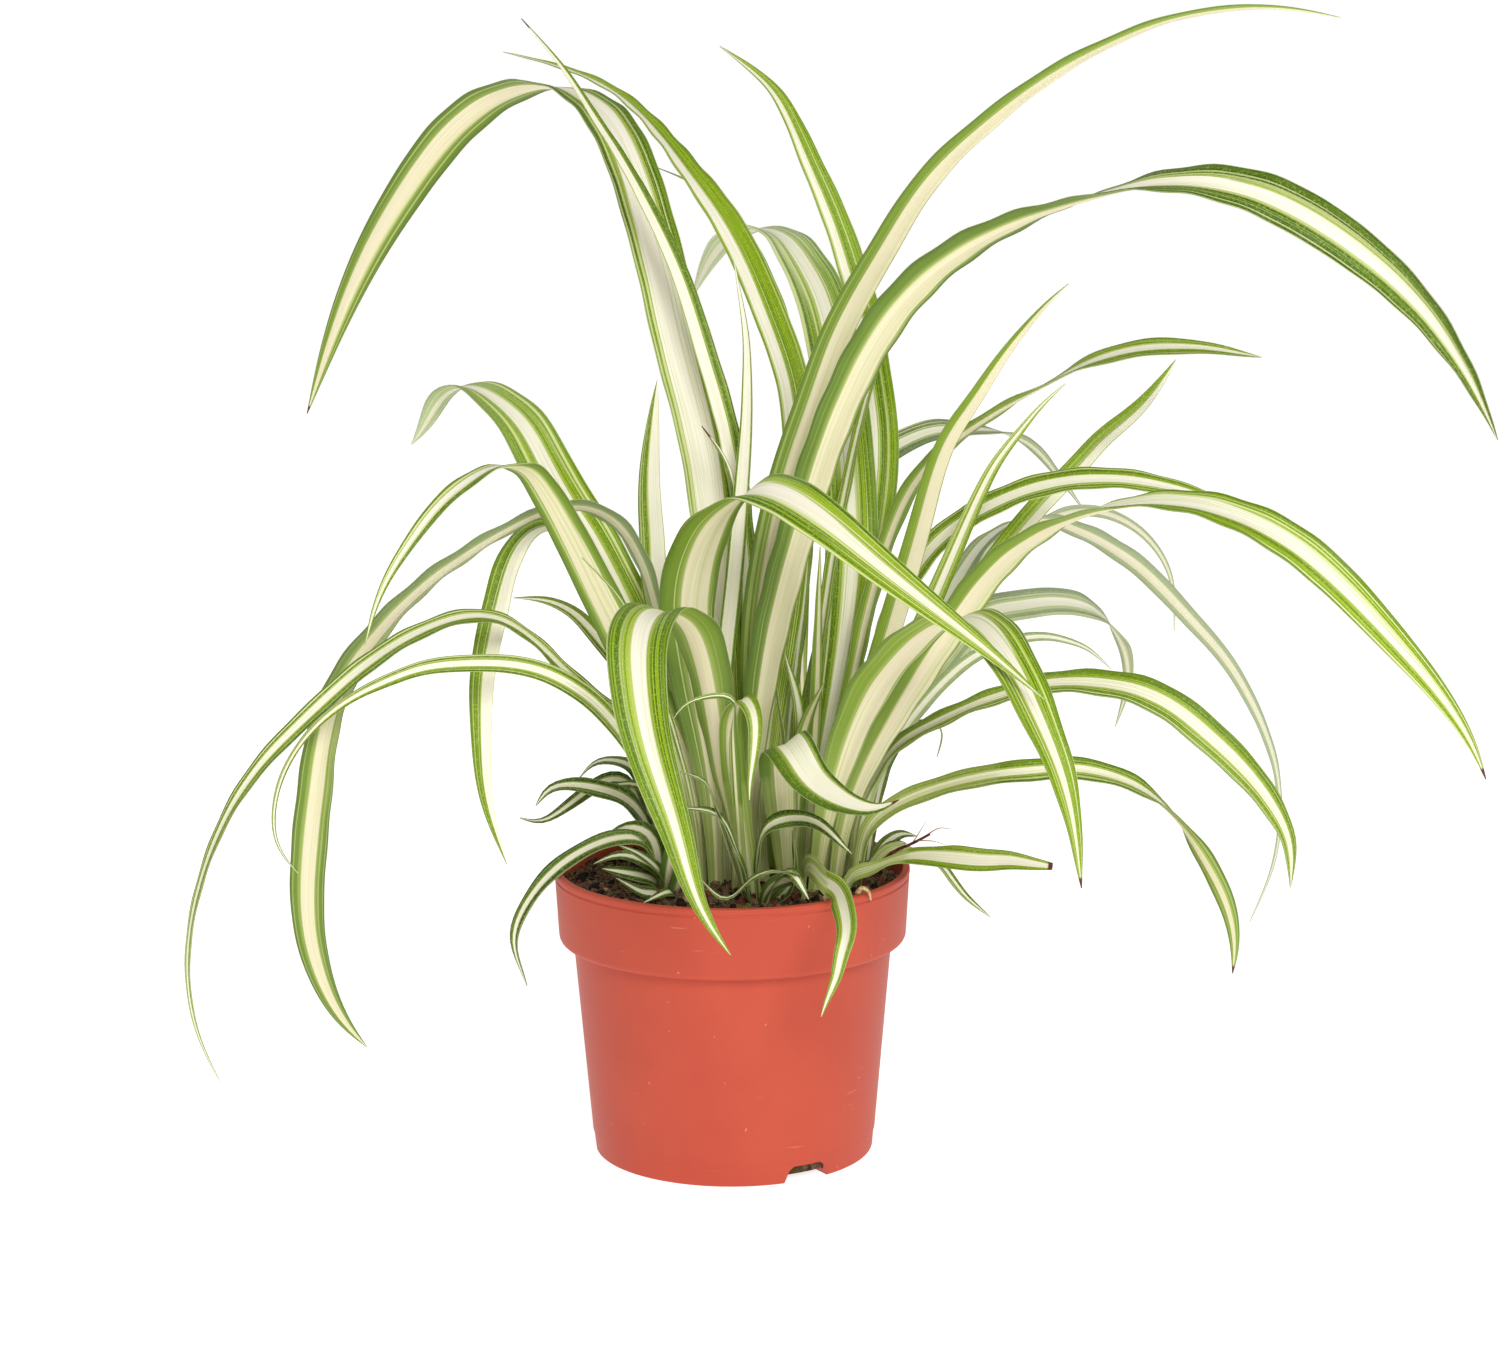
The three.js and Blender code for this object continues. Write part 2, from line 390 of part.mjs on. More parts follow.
// Places along the rib, closer together where it bends, each with the way its upper face looks and the way
// across it.
function stations(leaf) {
  const FINE = 120;
  const curve = new THREE.CatmullRomCurve3(leaf.rib.map(vector), false, 'centripetal');
  const points = curve.getSpacedPoints(FINE);
  const along = points.map((point, i) => points[Math.min(i + 1, FINE)].clone()
    .sub(points[Math.max(i - 1, 0)]).normalize());
  along[0].set(0, 0, 1); // the foot is cut level
  const upper = points[0].clone().sub(points[FINE]).setZ(0).normalize();
  const frames = [];
  const effort = [0];
  for (let i = 0; i <= FINE; i += 1) {
    upper.addScaledVector(along[i], -upper.dot(along[i])).normalize();
    const across = along[i].clone().cross(upper);
    const turn = degrees(interpolate(leaf.turn, i / FINE));
    const face = upper.clone().multiplyScalar(Math.cos(turn)).addScaledVector(across, Math.sin(turn));
    across.crossVectors(along[i], face);
    frames.push({ share: i / FINE, point: points[i], face, across });
    if (i > 0) {
      const bend = frames[i - 1].face.angleTo(face) + along[i - 1].angleTo(along[i]);
      effort.push(effort[i - 1] + bend / degrees(BLADE.stationTurn)
        + points[i].distanceTo(points[i - 1]) / BLADE.stationLength);
    }
  }
  const count = Math.max(5, Math.ceil(effort[FINE] / 1.6));
  const picked = [];
  for (let k = 0; k <= count; k += 1) {
    const goal = (effort[FINE] * k) / count;
    picked.push(frames[k === count ? FINE : effort.findIndex((value) => value >= goal - 1e-9)]);
  }
  return picked;
}

// The closed blade: at each station a shallow V of even thickness, its two faces cut into triangles alike.
function bladeGeometry(leaf) {
  const corners = [];
  const rows = stations(leaf);
  for (const { share, point, face, across } of rows) {
    const half = bladeWidth(leaf, share) / 2;
    const opened = smooth(Math.min(share / BLADE.foldEnds, 1));
    const lift = Math.sin(degrees(THREE.MathUtils.lerp(BLADE.footFold, BLADE.fold, opened))) * half;
    for (const side of [1, -1]) {
      for (const column of [-1, 0, 1]) {
        corners.push(point.clone()
          .addScaledVector(across, column * half)
          .addScaledVector(face, Math.abs(column) * lift + (side * BLADE.thickness) / 2));
      }
    }
  }
  const UNDER = 3; // from a corner of the upper face to the one below it
  const ROW = 6;
  const index = [];
  for (let row = 0; row < rows.length - 1; row += 1) {
    const here = row * ROW;
    const next = here + ROW;
    for (const column of [0, 1]) {
      const [a, b, c, d] = [here + column, here + column + 1, next + column + 1, next + column];
      index.push(a, b, c, a, c, d);
      index.push(a + UNDER, c + UNDER, b + UNDER, a + UNDER, d + UNDER, c + UNDER);
    }
    const [left, leftNext, right, rightNext] = [here, next, here + 2, next + 2];
    index.push(left, leftNext + UNDER, left + UNDER, left, leftNext, leftNext + UNDER);
    index.push(right, right + UNDER, rightNext + UNDER, right, rightNext + UNDER, rightNext);
  }
  const last = (rows.length - 1) * ROW;
  for (const column of [0, 1]) {
    const [a, b, c, d] = [column, column + 1, column + 1 + UNDER, column + UNDER];
    index.push(a, c, b, a, d, c);
    index.push(last + a, last + b, last + c, last + a, last + c, last + d);
  }
  const geometry = new THREE.BufferGeometry();
  geometry.setFromPoints(corners);
  geometry.setIndex(index);
  return geometry;
}

// ---- pot ----------------------------------------------------------------------------------------

const bandFoot = POT.height - POT.bandHeight;
const shoulderHeight = bandFoot + POT.wall; // the step inside, over the band's lower edge

function bodyRadius(height) {
  return THREE.MathUtils.lerp(POT.footRadius, POT.bodyTopRadius, height / bandFoot);
}

function bandRadius(height) {
  return THREE.MathUtils.lerp(POT.bandFootRadius, POT.rimRadius, (height - bandFoot) / POT.bandHeight);
}

function potProfile() {
  const line = POT.mouldLineHeight;
  const lip = POT.height - POT.lipHeight;
  return [
    [0, 0],
    [POT.footRadius - POT.footRound - POT.mouldStep, 0],
    [bodyRadius(POT.footRound) - POT.mouldStep, POT.footRound],
    [bodyRadius(line) - POT.mouldStep, line],
    [bodyRadius(line), line + POT.mouldStep],
    [POT.bodyTopRadius, bandFoot],
    [POT.bandFootRadius - POT.bandRound, bandFoot],
    [POT.bandFootRadius - 0.3 * POT.bandRound, bandFoot + 0.3 * POT.bandRound],
    [POT.bandFootRadius, bandFoot + POT.bandRound],
    [bandRadius(lip - 0.9), lip - 0.9],
    [bandRadius(lip) - POT.grooveDepth, lip - 0.5],
    [bandRadius(lip) - POT.grooveDepth, lip - 0.1],
    [POT.rimRadius, lip + 0.5],
    [POT.rimRadius, POT.height - 0.6],
    [POT.rimRadius - 0.6, POT.height],
    [POT.rimRadius - POT.lipWall + 0.5, POT.height],
    [POT.rimRadius - POT.lipWall, POT.height - 0.5],
    [POT.bandFootRadius - POT.wall, shoulderHeight + 1.5],
    [POT.bandFootRadius - POT.wall - 1.5, shoulderHeight],
    [POT.bodyTopRadius - POT.wall, shoulderHeight - 1],
    [bodyRadius(POT.floor + 1) - POT.wall, POT.floor + 1],
    [bodyRadius(POT.floor) - POT.wall - 1, POT.floor],
    [0, POT.floor],
  ];
}

// One drain notch, as the solid to be cut away: narrower at the top, running in under the floor.
function notchCutter(direction) {
  const shape = new THREE.Shape();
  const [low, high] = [NOTCH.widthAtFloor / 2, NOTCH.widthAtTop / 2];
  const corner = 1.4;
  shape.moveTo(-low - 0.3, -1);
  shape.lineTo(low + 0.3, -1);
  shape.lineTo(high + 0.3, NOTCH.height - corner);
  shape.lineTo(high - corner, NOTCH.height);
  shape.lineTo(-high + corner, NOTCH.height);
  shape.lineTo(-high - 0.3, NOTCH.height - corner);
  shape.closePath();
  const length = NOTCH.reach + 4;
  const cutter = new THREE.ExtrudeGeometry(shape, { depth: length, bevelEnabled: false });
  cutter.translate(0, 0, POT.footRadius - NOTCH.reach);
  cutter.rotateX(Math.PI / 2);
  cutter.rotateZ(Math.PI);
  cutter.rotateZ(degrees(direction) - Math.PI / 2);
  return solidOf(cutter);
}

function potGeometry() {
  const profile = potProfile().map(([radius, height]) => new THREE.Vector2(radius, height));
  const shell = new THREE.LatheGeometry(profile, POT.sides);
  shell.rotateX(Math.PI / 2);
  let pot = solidOf(shell);
  for (const direction of NOTCH.directions) pot = pot.subtract(notchCutter(direction));
  return geometryOf(pot);
}

// ---- soil ---------------------------------------------------------------------------------------

// Numbers from 0 to 1 that come out the same every time.
function seeded(seed) {
  let state = seed;
  return () => {
    state = (Math.imul(state, 1664525) + 1013904223) >>> 0;
    return state / 4294967296;
  };
}

// The corners of the smallest convex outline round some points in plan.
function outlineOf(points) {
  const sorted = [...points].sort((a, b) => a.x - b.x || a.y - b.y);
  const half = (list) => {
    const chain = [];
    for (const point of list) {
      while (chain.length > 1) {
        const [a, b] = chain.slice(-2);
        if ((b.x - a.x) * (point.y - a.y) - (b.y - a.y) * (point.x - a.x) > 0) break;
        chain.pop();
      }
      chain.push(point);
    }
    return chain.slice(0, -1);
  };
  return [...half(sorted), ...half(sorted.reverse())];
}

// Points on a ring round every corner of a blade that lies below the top of the soil.
function ringsRound(geometry, margin) {
  const rings = [];
  const corners = geometry.attributes.position;
  for (let i = 0; i < corners.count; i += 1) {
    if (corners.getZ(i) > SOIL.level + SOIL.mound + SOIL.bump) continue;
    for (let k = 0; k < 6; k += 1) {
      const angle = (k * Math.PI) / 3;
      rings.push(new THREE.Vector2(
        corners.getX(i) + margin * Math.cos(angle),
        corners.getY(i) + margin * Math.sin(angle),
      ));
    }
  }
  return rings;
}

function wellCutter(outline) {
  const prism = new THREE.ExtrudeGeometry(new THREE.Shape(outline), { depth: 20, bevelEnabled: false });
  prism.translate(0, 0, WELL.floor);
  return solidOf(prism);
}

// A round fill under a bumpy top, before the well is cut.
function soilBody() {
  const random = seeded(11);
  const rings = [
    [0, POT.floor + SOIL.gap],
    [bodyRadius(POT.floor) - POT.wall - 1.5, POT.floor + SOIL.gap],
    [POT.bodyTopRadius - POT.wall - SOIL.gap, shoulderHeight],
    [POT.bodyTopRadius - POT.wall - SOIL.gap, shoulderHeight + SOIL.gap + 0.2],
    [POT.bandFootRadius - POT.wall - 1.9, shoulderHeight + SOIL.gap + 0.2],
    [POT.bandFootRadius - POT.wall - SOIL.gap, shoulderHeight + 2.2],
    [POT.bandFootRadius - POT.wall - SOIL.gap + 0.4, SOIL.level],
  ];
  const edge = rings.at(-1)[0];
  for (let ring = 1; ring < SOIL.rings; ring += 1) {
    rings.push([edge * (1 - ring / SOIL.rings), SOIL.level + SOIL.mound * smooth(ring / SOIL.rings)]);
  }
  rings.push([0, SOIL.level + SOIL.mound]);
  const profile = rings.map(([radius, height]) => new THREE.Vector2(radius, height));
  const body = weld(new THREE.LatheGeometry(profile, POT.sides).rotateX(Math.PI / 2));
  const corners = body.attributes.position;
  for (let i = 0; i < corners.count; i += 1) {
    const height = corners.getZ(i);
    const inside = Math.hypot(corners.getX(i), corners.getY(i)) < edge - 1;
    if (height > SOIL.level && inside) corners.setZ(i, height + SOIL.bump * (2 * random() - 1));
  }
  return body;
}

// ---- small parts --------------------------------------------------------------------------------

// A rod through some points, six-sided, tapering from one thickness to another.
function rodGeometry(path, thickness, tip) {
  const SIDES = 6;
  const curve = new THREE.CatmullRomCurve3(path.map(vector), false, 'centripetal');
  const steps = 10;
  const rows = [];
  const side = new THREE.Vector3(0, 1, 0);
  for (let i = 0; i <= steps; i += 1) {
    const along = curve.getTangent(i / steps);
    side.addScaledVector(along, -side.dot(along)).normalize();
    const other = along.clone().cross(side);
    const radius = THREE.MathUtils.lerp(thickness, tip, i / steps) / 2;
    for (let k = 0; k < SIDES; k += 1) {
      const angle = (2 * Math.PI * k) / SIDES;
      rows.push(curve.getPoint(i / steps)
        .addScaledVector(side, radius * Math.cos(angle))
        .addScaledVector(other, radius * Math.sin(angle)));
    }
  }
  const index = [];
  for (let i = 0; i < steps; i += 1) {
    for (let k = 0; k < SIDES; k += 1) {
      const a = i * SIDES + k;
      const b = i * SIDES + ((k + 1) % SIDES);
      index.push(a, b, b + SIDES, a, b + SIDES, a + SIDES);
    }
  }
  for (let k = 1; k < SIDES - 1; k += 1) {
    index.push(0, k + 1, k);
    index.push(steps * SIDES, steps * SIDES + k, steps * SIDES + k + 1);
  }
  return new THREE.BufferGeometry().setFromPoints(rows).setIndex(index);
}

// A rosette: its leaves grown into one body with a short crown.
function rosetteGeometry({ crown, leaves }) {
  const { foot, top, footRadius, topRadius } = CROWN;
  const stub = new THREE.CylinderGeometry(topRadius, footRadius, top - foot, 10);
  stub.rotateX(Math.PI / 2);
  stub.translate(crown[0], crown[1], (foot + top) / 2);
  let whole = solidOf(stub);
  for (const { width, turn, rib } of leaves) {
    const blade = bladeGeometry({ width, rib, foot: 3, shoulder: 0.4, taper: 2, turn });
    whole = whole.add(solidOf(blade));
  }
  return geometryOf(whole);
}

// ---- the plant in its pot -----------------------------------------------------------------------

const blades = Object.entries(LEAVES).map(([name, leaf]) => [name, bladeGeometry(leaf)]);
const rosettes = Object.entries(ROSETTES).map(([name, rosette]) => [name, rosetteGeometry(rosette)]);
const stalk = rodGeometry(STALK.path, STALK.thickness, STALK.tip);

const clump = [...blades.map(([, geometry]) => geometry), stalk];
let soil = solidOf(soilBody());
soil = soil.subtract(wellCutter(outlineOf(clump.flatMap((geometry) => ringsRound(geometry, WELL.margin)))));
for (const [, geometry] of rosettes) {
  soil = soil.subtract(wellCutter(outlineOf(ringsRound(geometry, WELL.margin))));
}

const plant = new THREE.Group();
plant.add(named('pot', potGeometry(), COLOURS.pot, 0.5));
plant.add(named('soil', geometryOf(soil), COLOURS.soil, 0.95));
for (const [name, geometry] of blades) plant.add(named(name, geometry, COLOURS.leaf, 0.5));
for (const [name, geometry] of rosettes) plant.add(named(name, geometry, COLOURS.paleLeaf, 0.5));
plant.add(named('dry_stalk', stalk, COLOURS.stalk, 0.9));

export default plant;
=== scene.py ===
"""Looks for the potted spider plant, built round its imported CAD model."""
import math
import random

import bpy
import numpy as np
from mathutils import Euler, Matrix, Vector, noise


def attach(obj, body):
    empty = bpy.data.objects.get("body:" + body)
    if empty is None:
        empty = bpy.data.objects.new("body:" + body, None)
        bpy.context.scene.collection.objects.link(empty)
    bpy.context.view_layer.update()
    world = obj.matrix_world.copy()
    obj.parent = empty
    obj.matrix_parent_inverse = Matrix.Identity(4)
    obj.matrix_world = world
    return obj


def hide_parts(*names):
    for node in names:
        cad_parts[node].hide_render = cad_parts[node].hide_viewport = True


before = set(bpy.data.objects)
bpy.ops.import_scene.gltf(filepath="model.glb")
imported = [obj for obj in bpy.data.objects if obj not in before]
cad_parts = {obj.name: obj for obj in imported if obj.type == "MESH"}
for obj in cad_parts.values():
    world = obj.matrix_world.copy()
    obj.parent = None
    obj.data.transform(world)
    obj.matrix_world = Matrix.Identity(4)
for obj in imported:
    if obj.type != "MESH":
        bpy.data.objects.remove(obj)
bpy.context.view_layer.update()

MM = 0.001

# ---- sizes, as in the CAD model, in millimetres --------------------------------------------------

POT_HEIGHT = 97.6
RIM_RADIUS = 60.0
BAND_FOOT_RADIUS = 58.6
BAND_HEIGHT = 24.5
BODY_TOP_RADIUS = 53.9
FOOT_RADIUS = 47.6
WALL = 1.7
FLOOR = 2.0
MOULD_LINE = 6.4
BAND_FOOT = POT_HEIGHT - BAND_HEIGHT

NOTCH_DIRECTIONS = (-59, 61, 180)
NOTCH_FLOOR_WIDTH = 17
NOTCH_TOP_WIDTH = 13
NOTCH_HEIGHT = 5.6
NOTCH_REACH = 9

SOIL_LEVEL = 92.6
SOIL_RADIUS = 57.0
# below its top, the soil's outline down to the pot's floor: radius and height
SOIL_SIDE = ((56.2, BAND_FOOT + 4), (51.6, BAND_FOOT + 2), (51.6, BAND_FOOT - 1), (45.6, FLOOR + 0.4))

# how far the floor goes each way
FLOOR_REACH = 20000

# ---- light and camera, in metres and degrees -----------------------------------------------------

SURROUND_LIGHT = 0.36
FLOOR_GLOW = 0.8
# each lamp's name, place, size and watts
LAMPS = (
    ("key", (0.35, -1.5, 1.1), 0.75, 19.5),
    ("back", (-0.8, 1.0, 1.4), 0.9, 5),
)
LAMPS_POINT_AT = (0, 0, 0.15)

CAMERA_PLACE = (0.0064, -1.150, 0.380)
CAMERA_LOOKS_DOWN = 10.65
CAMERA_ROLL = -0.33
LENS = 84
FILM_WIDTH = 36

# ---- leaves --------------------------------------------------------------------------------------

# Each leaf's greatest width, where along it that is reached (shoulder), how full it stays from there to
# the tip (taper), the turn about its own rib from foot to tip, and the points that its rib runs through.
# They are those of the CAD model.

COMMON_LEAF = dict(foot=5, shoulder=0.4, taper=2)
YOUNG_LEAF = dict(foot=3, shoulder=0.4, taper=2)

LEAVES = {
    # tall ones out of the middle
    "leaf_tall_1": dict(width=8, shoulder=0.45, taper=1.4, turn=[-9, -9, -9, -47, -21, -57], rib=[
        (6, 4, 86), (6, 2, 120), (8, 3, 147), (5, 7, 208), (2, 9, 231), (-2, 11, 251), (-8, 15, 270),
        (-13, 20, 287), (-19, 26, 302), (-28, 35, 319), (-36, 43, 333), (-48, 57, 350), (-54, 64, 360),
        (-61, 70, 368), (-71, 76, 379)]),
    "leaf_tall_2": dict(width=17.5, shoulder=0.3, taper=5,
        turn=[-29, -29, -29, -34, -31, -36, -5, 50, 47, 45], rib=[
        (4, 6, 86), (-4, 11, 193), (-7, 17, 233), (-12, 23, 253), (-18, 31, 272), (-21, 39, 288),
        (-23, 45, 298), (-28, 54, 311), (-31, 64, 324), (-37, 77, 337), (-44, 93, 347), (-53, 109, 353),
        (-65, 120, 356), (-79, 130, 354), (-99, 141, 342), (-112, 147, 327), (-124, 152, 310),
        (-131, 155, 300), (-138, 158, 287), (-144, 160, 275), (-150, 162, 261), (-155, 163, 247),
        (-160, 165, 233)]),
    "leaf_tall_3": dict(width=11.5, shoulder=0.5, turn=[-31, -31, -31, -31, -31, -48, 0, -5, -13], rib=[
        (13, 8, 86), (12, 10, 125), (21, 17, 192), (23, 31, 252), (20, 37, 264), (16, 43, 274),
        (10, 53, 289), (6, 60, 298), (1, 66, 307), (-5, 73, 316), (-12, 80, 324), (-19, 90, 333),
        (-27, 102, 342), (-41, 118, 354), (-61, 131, 362), (-82, 143, 367)]),
    "leaf_tall_4": dict(width=6.5, turn=[35, 30, 5], rib=[
        (17, 13, 86), (18, 17, 130), (26, 36, 210), (17, 74, 282), (-5, 98, 317), (-27, 109, 327)]),
    "leaf_tall_5": dict(width=18.2, taper=4, turn=[-16, -16, -16, -16, -16, -16, -25, 0, 23, 55], rib=[
        (22, 11, 86), (40, 19, 185), (41, 24, 212), (37, 46, 260), (35, 54, 270), (32, 66, 283),
        (29, 73, 289), (25, 82, 295), (21, 90, 301), (17, 98, 304), (10, 107, 305), (2, 116, 303),
        (-4, 123, 298), (-9, 131, 290), (-14, 139, 278)]),
    "leaf_tall_6": dict(width=11.5, taper=3, turn=[-25, -25, -25, -25, -26, -19, -13, -10], rib=[
        (27, 18, 86), (34, 24, 129), (52, 38, 225), (52, 45, 243), (49, 57, 263), (48, 65, 275),
        (44, 74, 288), (40, 78, 302), (35, 79, 315), (29, 82, 328), (23, 87, 342), (17, 93, 354),
        (-3, 104, 369)]),
    "leaf_tall_7": dict(width=11.5, shoulder=0.3, taper=1.6,
        turn=[-73, -73, -73, -73, -73, -75, -60, -49, -23, -86], rib=[
        (11, -4, 86), (8, -6, 121), (9, -15, 184), (20, -20, 238), (25, -22, 251), (29, -25, 264),
        (33, -28, 277), (39, -32, 289), (46, -35, 301), (53, -39, 313), (60, -43, 326), (71, -47, 338),
        (85, -52, 350), (102, -57, 363), (116, -61, 370), (133, -66, 378), (144, -68, 380),
        (163, -71, 382), (179, -73, 380), (186, -74, 378)]),
    "leaf_tall_8": dict(width=15.2, shoulder=0.25, taper=8,
        turn=[-32, -32, -32, -32, -32, -44, -34, -7, 38, 88, 108, 127], rib=[
        (7, -9, 86), (6, -11, 109), (13, -18, 175), (32, -33, 246), (37, -36, 259), (43, -40, 272),
        (50, -45, 285), (61, -50, 298), (68, -54, 304), (77, -57, 310), (87, -61, 315), (99, -66, 320),
        (110, -71, 323), (120, -75, 327), (137, -82, 330), (148, -86, 329), (158, -89, 328),
        (175, -98, 319), (185, -103, 313), (194, -107, 306), (203, -110, 298), (210, -112, 290),
        (219, -115, 276), (226, -118, 263), (228, -120, 255)]),
    "leaf_tall_9": dict(width=6, shoulder=0.5, taper=1.6, turn=[-1, -1, -1, -1, -3], rib=[
        (-1, -6, 86), (-3, -8, 150), (2, -6, 203), (5, 0, 238), (6, 3, 252), (6, 6, 264), (6, 9, 275),
        (4, 13, 287), (2, 17, 299)]),
    "leaf_tall_10": dict(width=6, turn=[5, 5, 5], rib=[
        (27, 6, 86), (28, 8, 153), (46, 24, 252), (63, 33, 296)]),
    "leaf_tall_11": dict(width=9, taper=4, turn=[-52, -52, -52, -52, -52, -53], rib=[
        (-6, 6, 86), (-8, 9, 118), (-26, 13, 194), (-26, 14, 204), (-27, 15, 218), (-27, 16, 230),
        (-26, 17, 242), (-25, 18, 252), (-24, 19, 260)]),
    "leaf_tall_12": dict(width=4.5, turn=[-95, -100, -85], rib=[
        (-1, -1, 86), (-3, -1, 161), (2, -2, 189), (0, 2, 232), (-9, -4, 247)]),
    # those that lean or arch to the right
    "leaf_right_1": dict(width=8.5, turn=[-90, -90, -90, -90, -90, -90, -92], rib=[
        (27, -5, 86), (36, -9, 123), (60, -9, 205), (71, -12, 243), (80, -13, 256), (84, -14, 263),
        (88, -14, 269), (93, -15, 276), (98, -16, 282), (104, -16, 289), (110, -17, 294)]),
    "leaf_right_2": dict(width=7, turn=[91, 91, 91, 90], rib=[
        (30, -1, 86), (39, 0, 123), (63, -2, 178), (88, -8, 236), (93, -8, 242), (98, -9, 249),
        (104, -10, 256), (110, -10, 261)]),
    "leaf_right_3": dict(width=8.5, taper=6, turn=[-39, -39, -39, -39, -39, -17, 62, 48], rib=[
        (31, 10, 86), (37, 8, 139), (62, 14, 226), (90, 10, 250), (99, 9, 255), (111, 6, 262),
        (118, 5, 266), (126, 3, 269), (133, 2, 271), (141, 0, 272), (149, -2, 272), (158, -4, 272),
        (166, -6, 270), (174, -8, 269)]),
    "leaf_right_4": dict(width=7.4, taper=6, turn=[63, 63, 63, 63, 61], rib=[
        (36, 8, 86), (45, 11, 131), (73, 17, 176), (103, 35, 212), (121, 43, 229), (127, 46, 236),
        (136, 49, 242), (144, 52, 249), (149, 55, 255), (154, 57, 262)]),
    "leaf_right_5": dict(width=10.5, turn=[43, 43, 43, 43, 43, 71, 71, -55, -50], rib=[
        (29, 25, 86), (31, 29, 128), (36, 41, 163), (41, 59, 192), (49, 92, 220), (61, 111, 227),
        (71, 122, 230), (80, 132, 230), (90, 141, 228), (100, 148, 227), (108, 154, 224), (116, 161, 218),
        (123, 168, 208), (129, 173, 201), (135, 177, 192)]),
    "leaf_right_6": dict(width=10, taper=3, turn=[35, 60, 55, 40], rib=[
        (33, 4, 86), (44, 8, 139), (63, 9, 199), (92, 8, 221), (125, -4, 229), (161, -19, 222),
        (182, -26, 209)]),
    "leaf_right_7": dict(width=14.4, shoulder=0.3, taper=4,
        turn=[-41, -41, -41, -41, -37, 4, 28, 72, 72, 73], rib=[
        (34, -9, 86), (40, -15, 123), (74, -33, 187), (88, -44, 208), (99, -51, 217), (111, -58, 224),
        (122, -64, 228), (140, -70, 230), (156, -76, 227), (172, -82, 220), (185, -86, 210),
        (196, -89, 199), (204, -91, 190), (215, -94, 178), (221, -96, 170), (230, -99, 156),
        (232, -101, 148)]),
    "leaf_right_8": dict(width=6.5, turn=[34, 34, 34, 34, 34, -101, -66, -46], rib=[
        (33, 29, 86), (41, 38, 122), (59, 59, 150), (79, 98, 172), (99, 127, 189), (115, 142, 194),
        (128, 153, 196), (139, 162, 195), (148, 168, 191), (156, 172, 186), (162, 176, 179),
        (167, 180, 172), (170, 183, 164), (171, 185, 155), (171, 187, 144)]),
    "leaf_right_9": dict(width=12, shoulder=0.3, taper=1.1,
        turn=[-7, -7, -7, -7, -14, -56, -50, -106, -37], rib=[
        (34, 15, 86), (37, 18, 123), (66, 28, 167), (88, 49, 201), (111, 78, 204), (122, 88, 199),
        (141, 101, 188), (157, 109, 174), (166, 113, 163), (177, 117, 152), (185, 120, 142),
        (191, 123, 131), (197, 125, 120), (204, 128, 100), (205, 129, 88), (205, 131, 70), (202, 133, 58),
        (195, 135, 41)]),
    "leaf_right_10": dict(width=11.5, turn=[50, 50, 50, 50, 49, 73, 45, -43, -26], rib=[
        (37, 19, 86), (43, 22, 118), (59, 33, 142), (89, 59, 174), (98, 67, 174), (106, 74, 174),
        (113, 81, 174), (121, 88, 172), (129, 96, 169), (139, 109, 159), (144, 116, 151), (147, 125, 137),
        (146, 129, 129), (143, 134, 117)]),
    "leaf_right_11": dict(width=5, turn=[71, 71, 71, 71, 84, 113], rib=[
        (39, 0, 86), (48, 3, 127), (79, 32, 160), (99, 48, 166), (105, 53, 166), (112, 59, 165),
        (120, 64, 162), (126, 69, 159), (135, 76, 150)]),
    "leaf_right_12": dict(width=21.2, taper=2.2, turn=[0], rib=[
        (27, -16, 86), (33, -23, 124), (47, -36, 164), (71, -74, 194), (82, -104, 191), (93, -122, 171),
        (101, -130, 150), (105, -135, 123)]),
    "leaf_right_13": dict(width=11.8, taper=5, turn=[35, 35, 35, 23, 27, 42, 73, 51, 51], rib=[
        (41, -6, 86), (43, -8, 117), (51, -4, 133), (56, -6, 141), (65, -9, 146), (73, -13, 151),
        (82, -17, 156), (92, -21, 160), (103, -25, 164), (112, -28, 165), (121, -31, 165),
        (131, -34, 164), (143, -37, 159), (153, -40, 151), (164, -42, 141), (174, -45, 129),
        (181, -47, 116), (181, -49, 101)]),
    "leaf_right_14": dict(width=8, shoulder=0.3, taper=6,
        turn=[59, 59, 46, 41, 53, 52, 13, -65, -110, -106], rib=[
        (42, -14, 86), (43, -14, 102), (46, -18, 116), (53, -21, 122), (64, -24, 128), (72, -27, 131),
        (81, -30, 134), (89, -33, 136), (97, -35, 137), (111, -39, 139), (120, -42, 138), (132, -46, 134),
        (141, -49, 127), (148, -53, 119), (152, -55, 112), (156, -57, 106), (159, -59, 99),
        (161, -60, 93), (162, -61, 81), (161, -62, 76)]),
    "leaf_right_15": dict(width=8, shoulder=0.5, turn=[67, 65, 31, 22, 64, 82, 80, 79], rib=[
        (37, -18, 86), (40, -18, 98), (46, -22, 101), (53, -27, 105), (61, -32, 108), (71, -38, 109),
        (83, -46, 110), (90, -50, 111), (97, -55, 111), (103, -59, 111)]),
    "leaf_right_16": dict(width=4, turn=[40, 40, 47, 93, 107], rib=[
        (42, 6, 86), (54, 14, 100), (65, 21, 95), (71, 25, 92), (76, 29, 85), (81, 32, 78), (86, 35, 73),
        (90, 38, 69)]),
    "leaf_right_17": dict(width=8.8, turn=[89, 89, 110, 47, 7, 11], rib=[
        (24, -25, 86), (25, -35, 106), (31, -53, 105), (34, -63, 105), (36, -81, 102), (36, -93, 97),
        (34, -97, 92), (33, -98, 86), (30, -98, 79), (28, -98, 73)]),
    # those that arch to the left
    "leaf_left_1": dict(width=18, shoulder=0.3, taper=5,
        turn=[-35, -35, -35, -35, -35, -45, -51, -21, -2, 56], rib=[
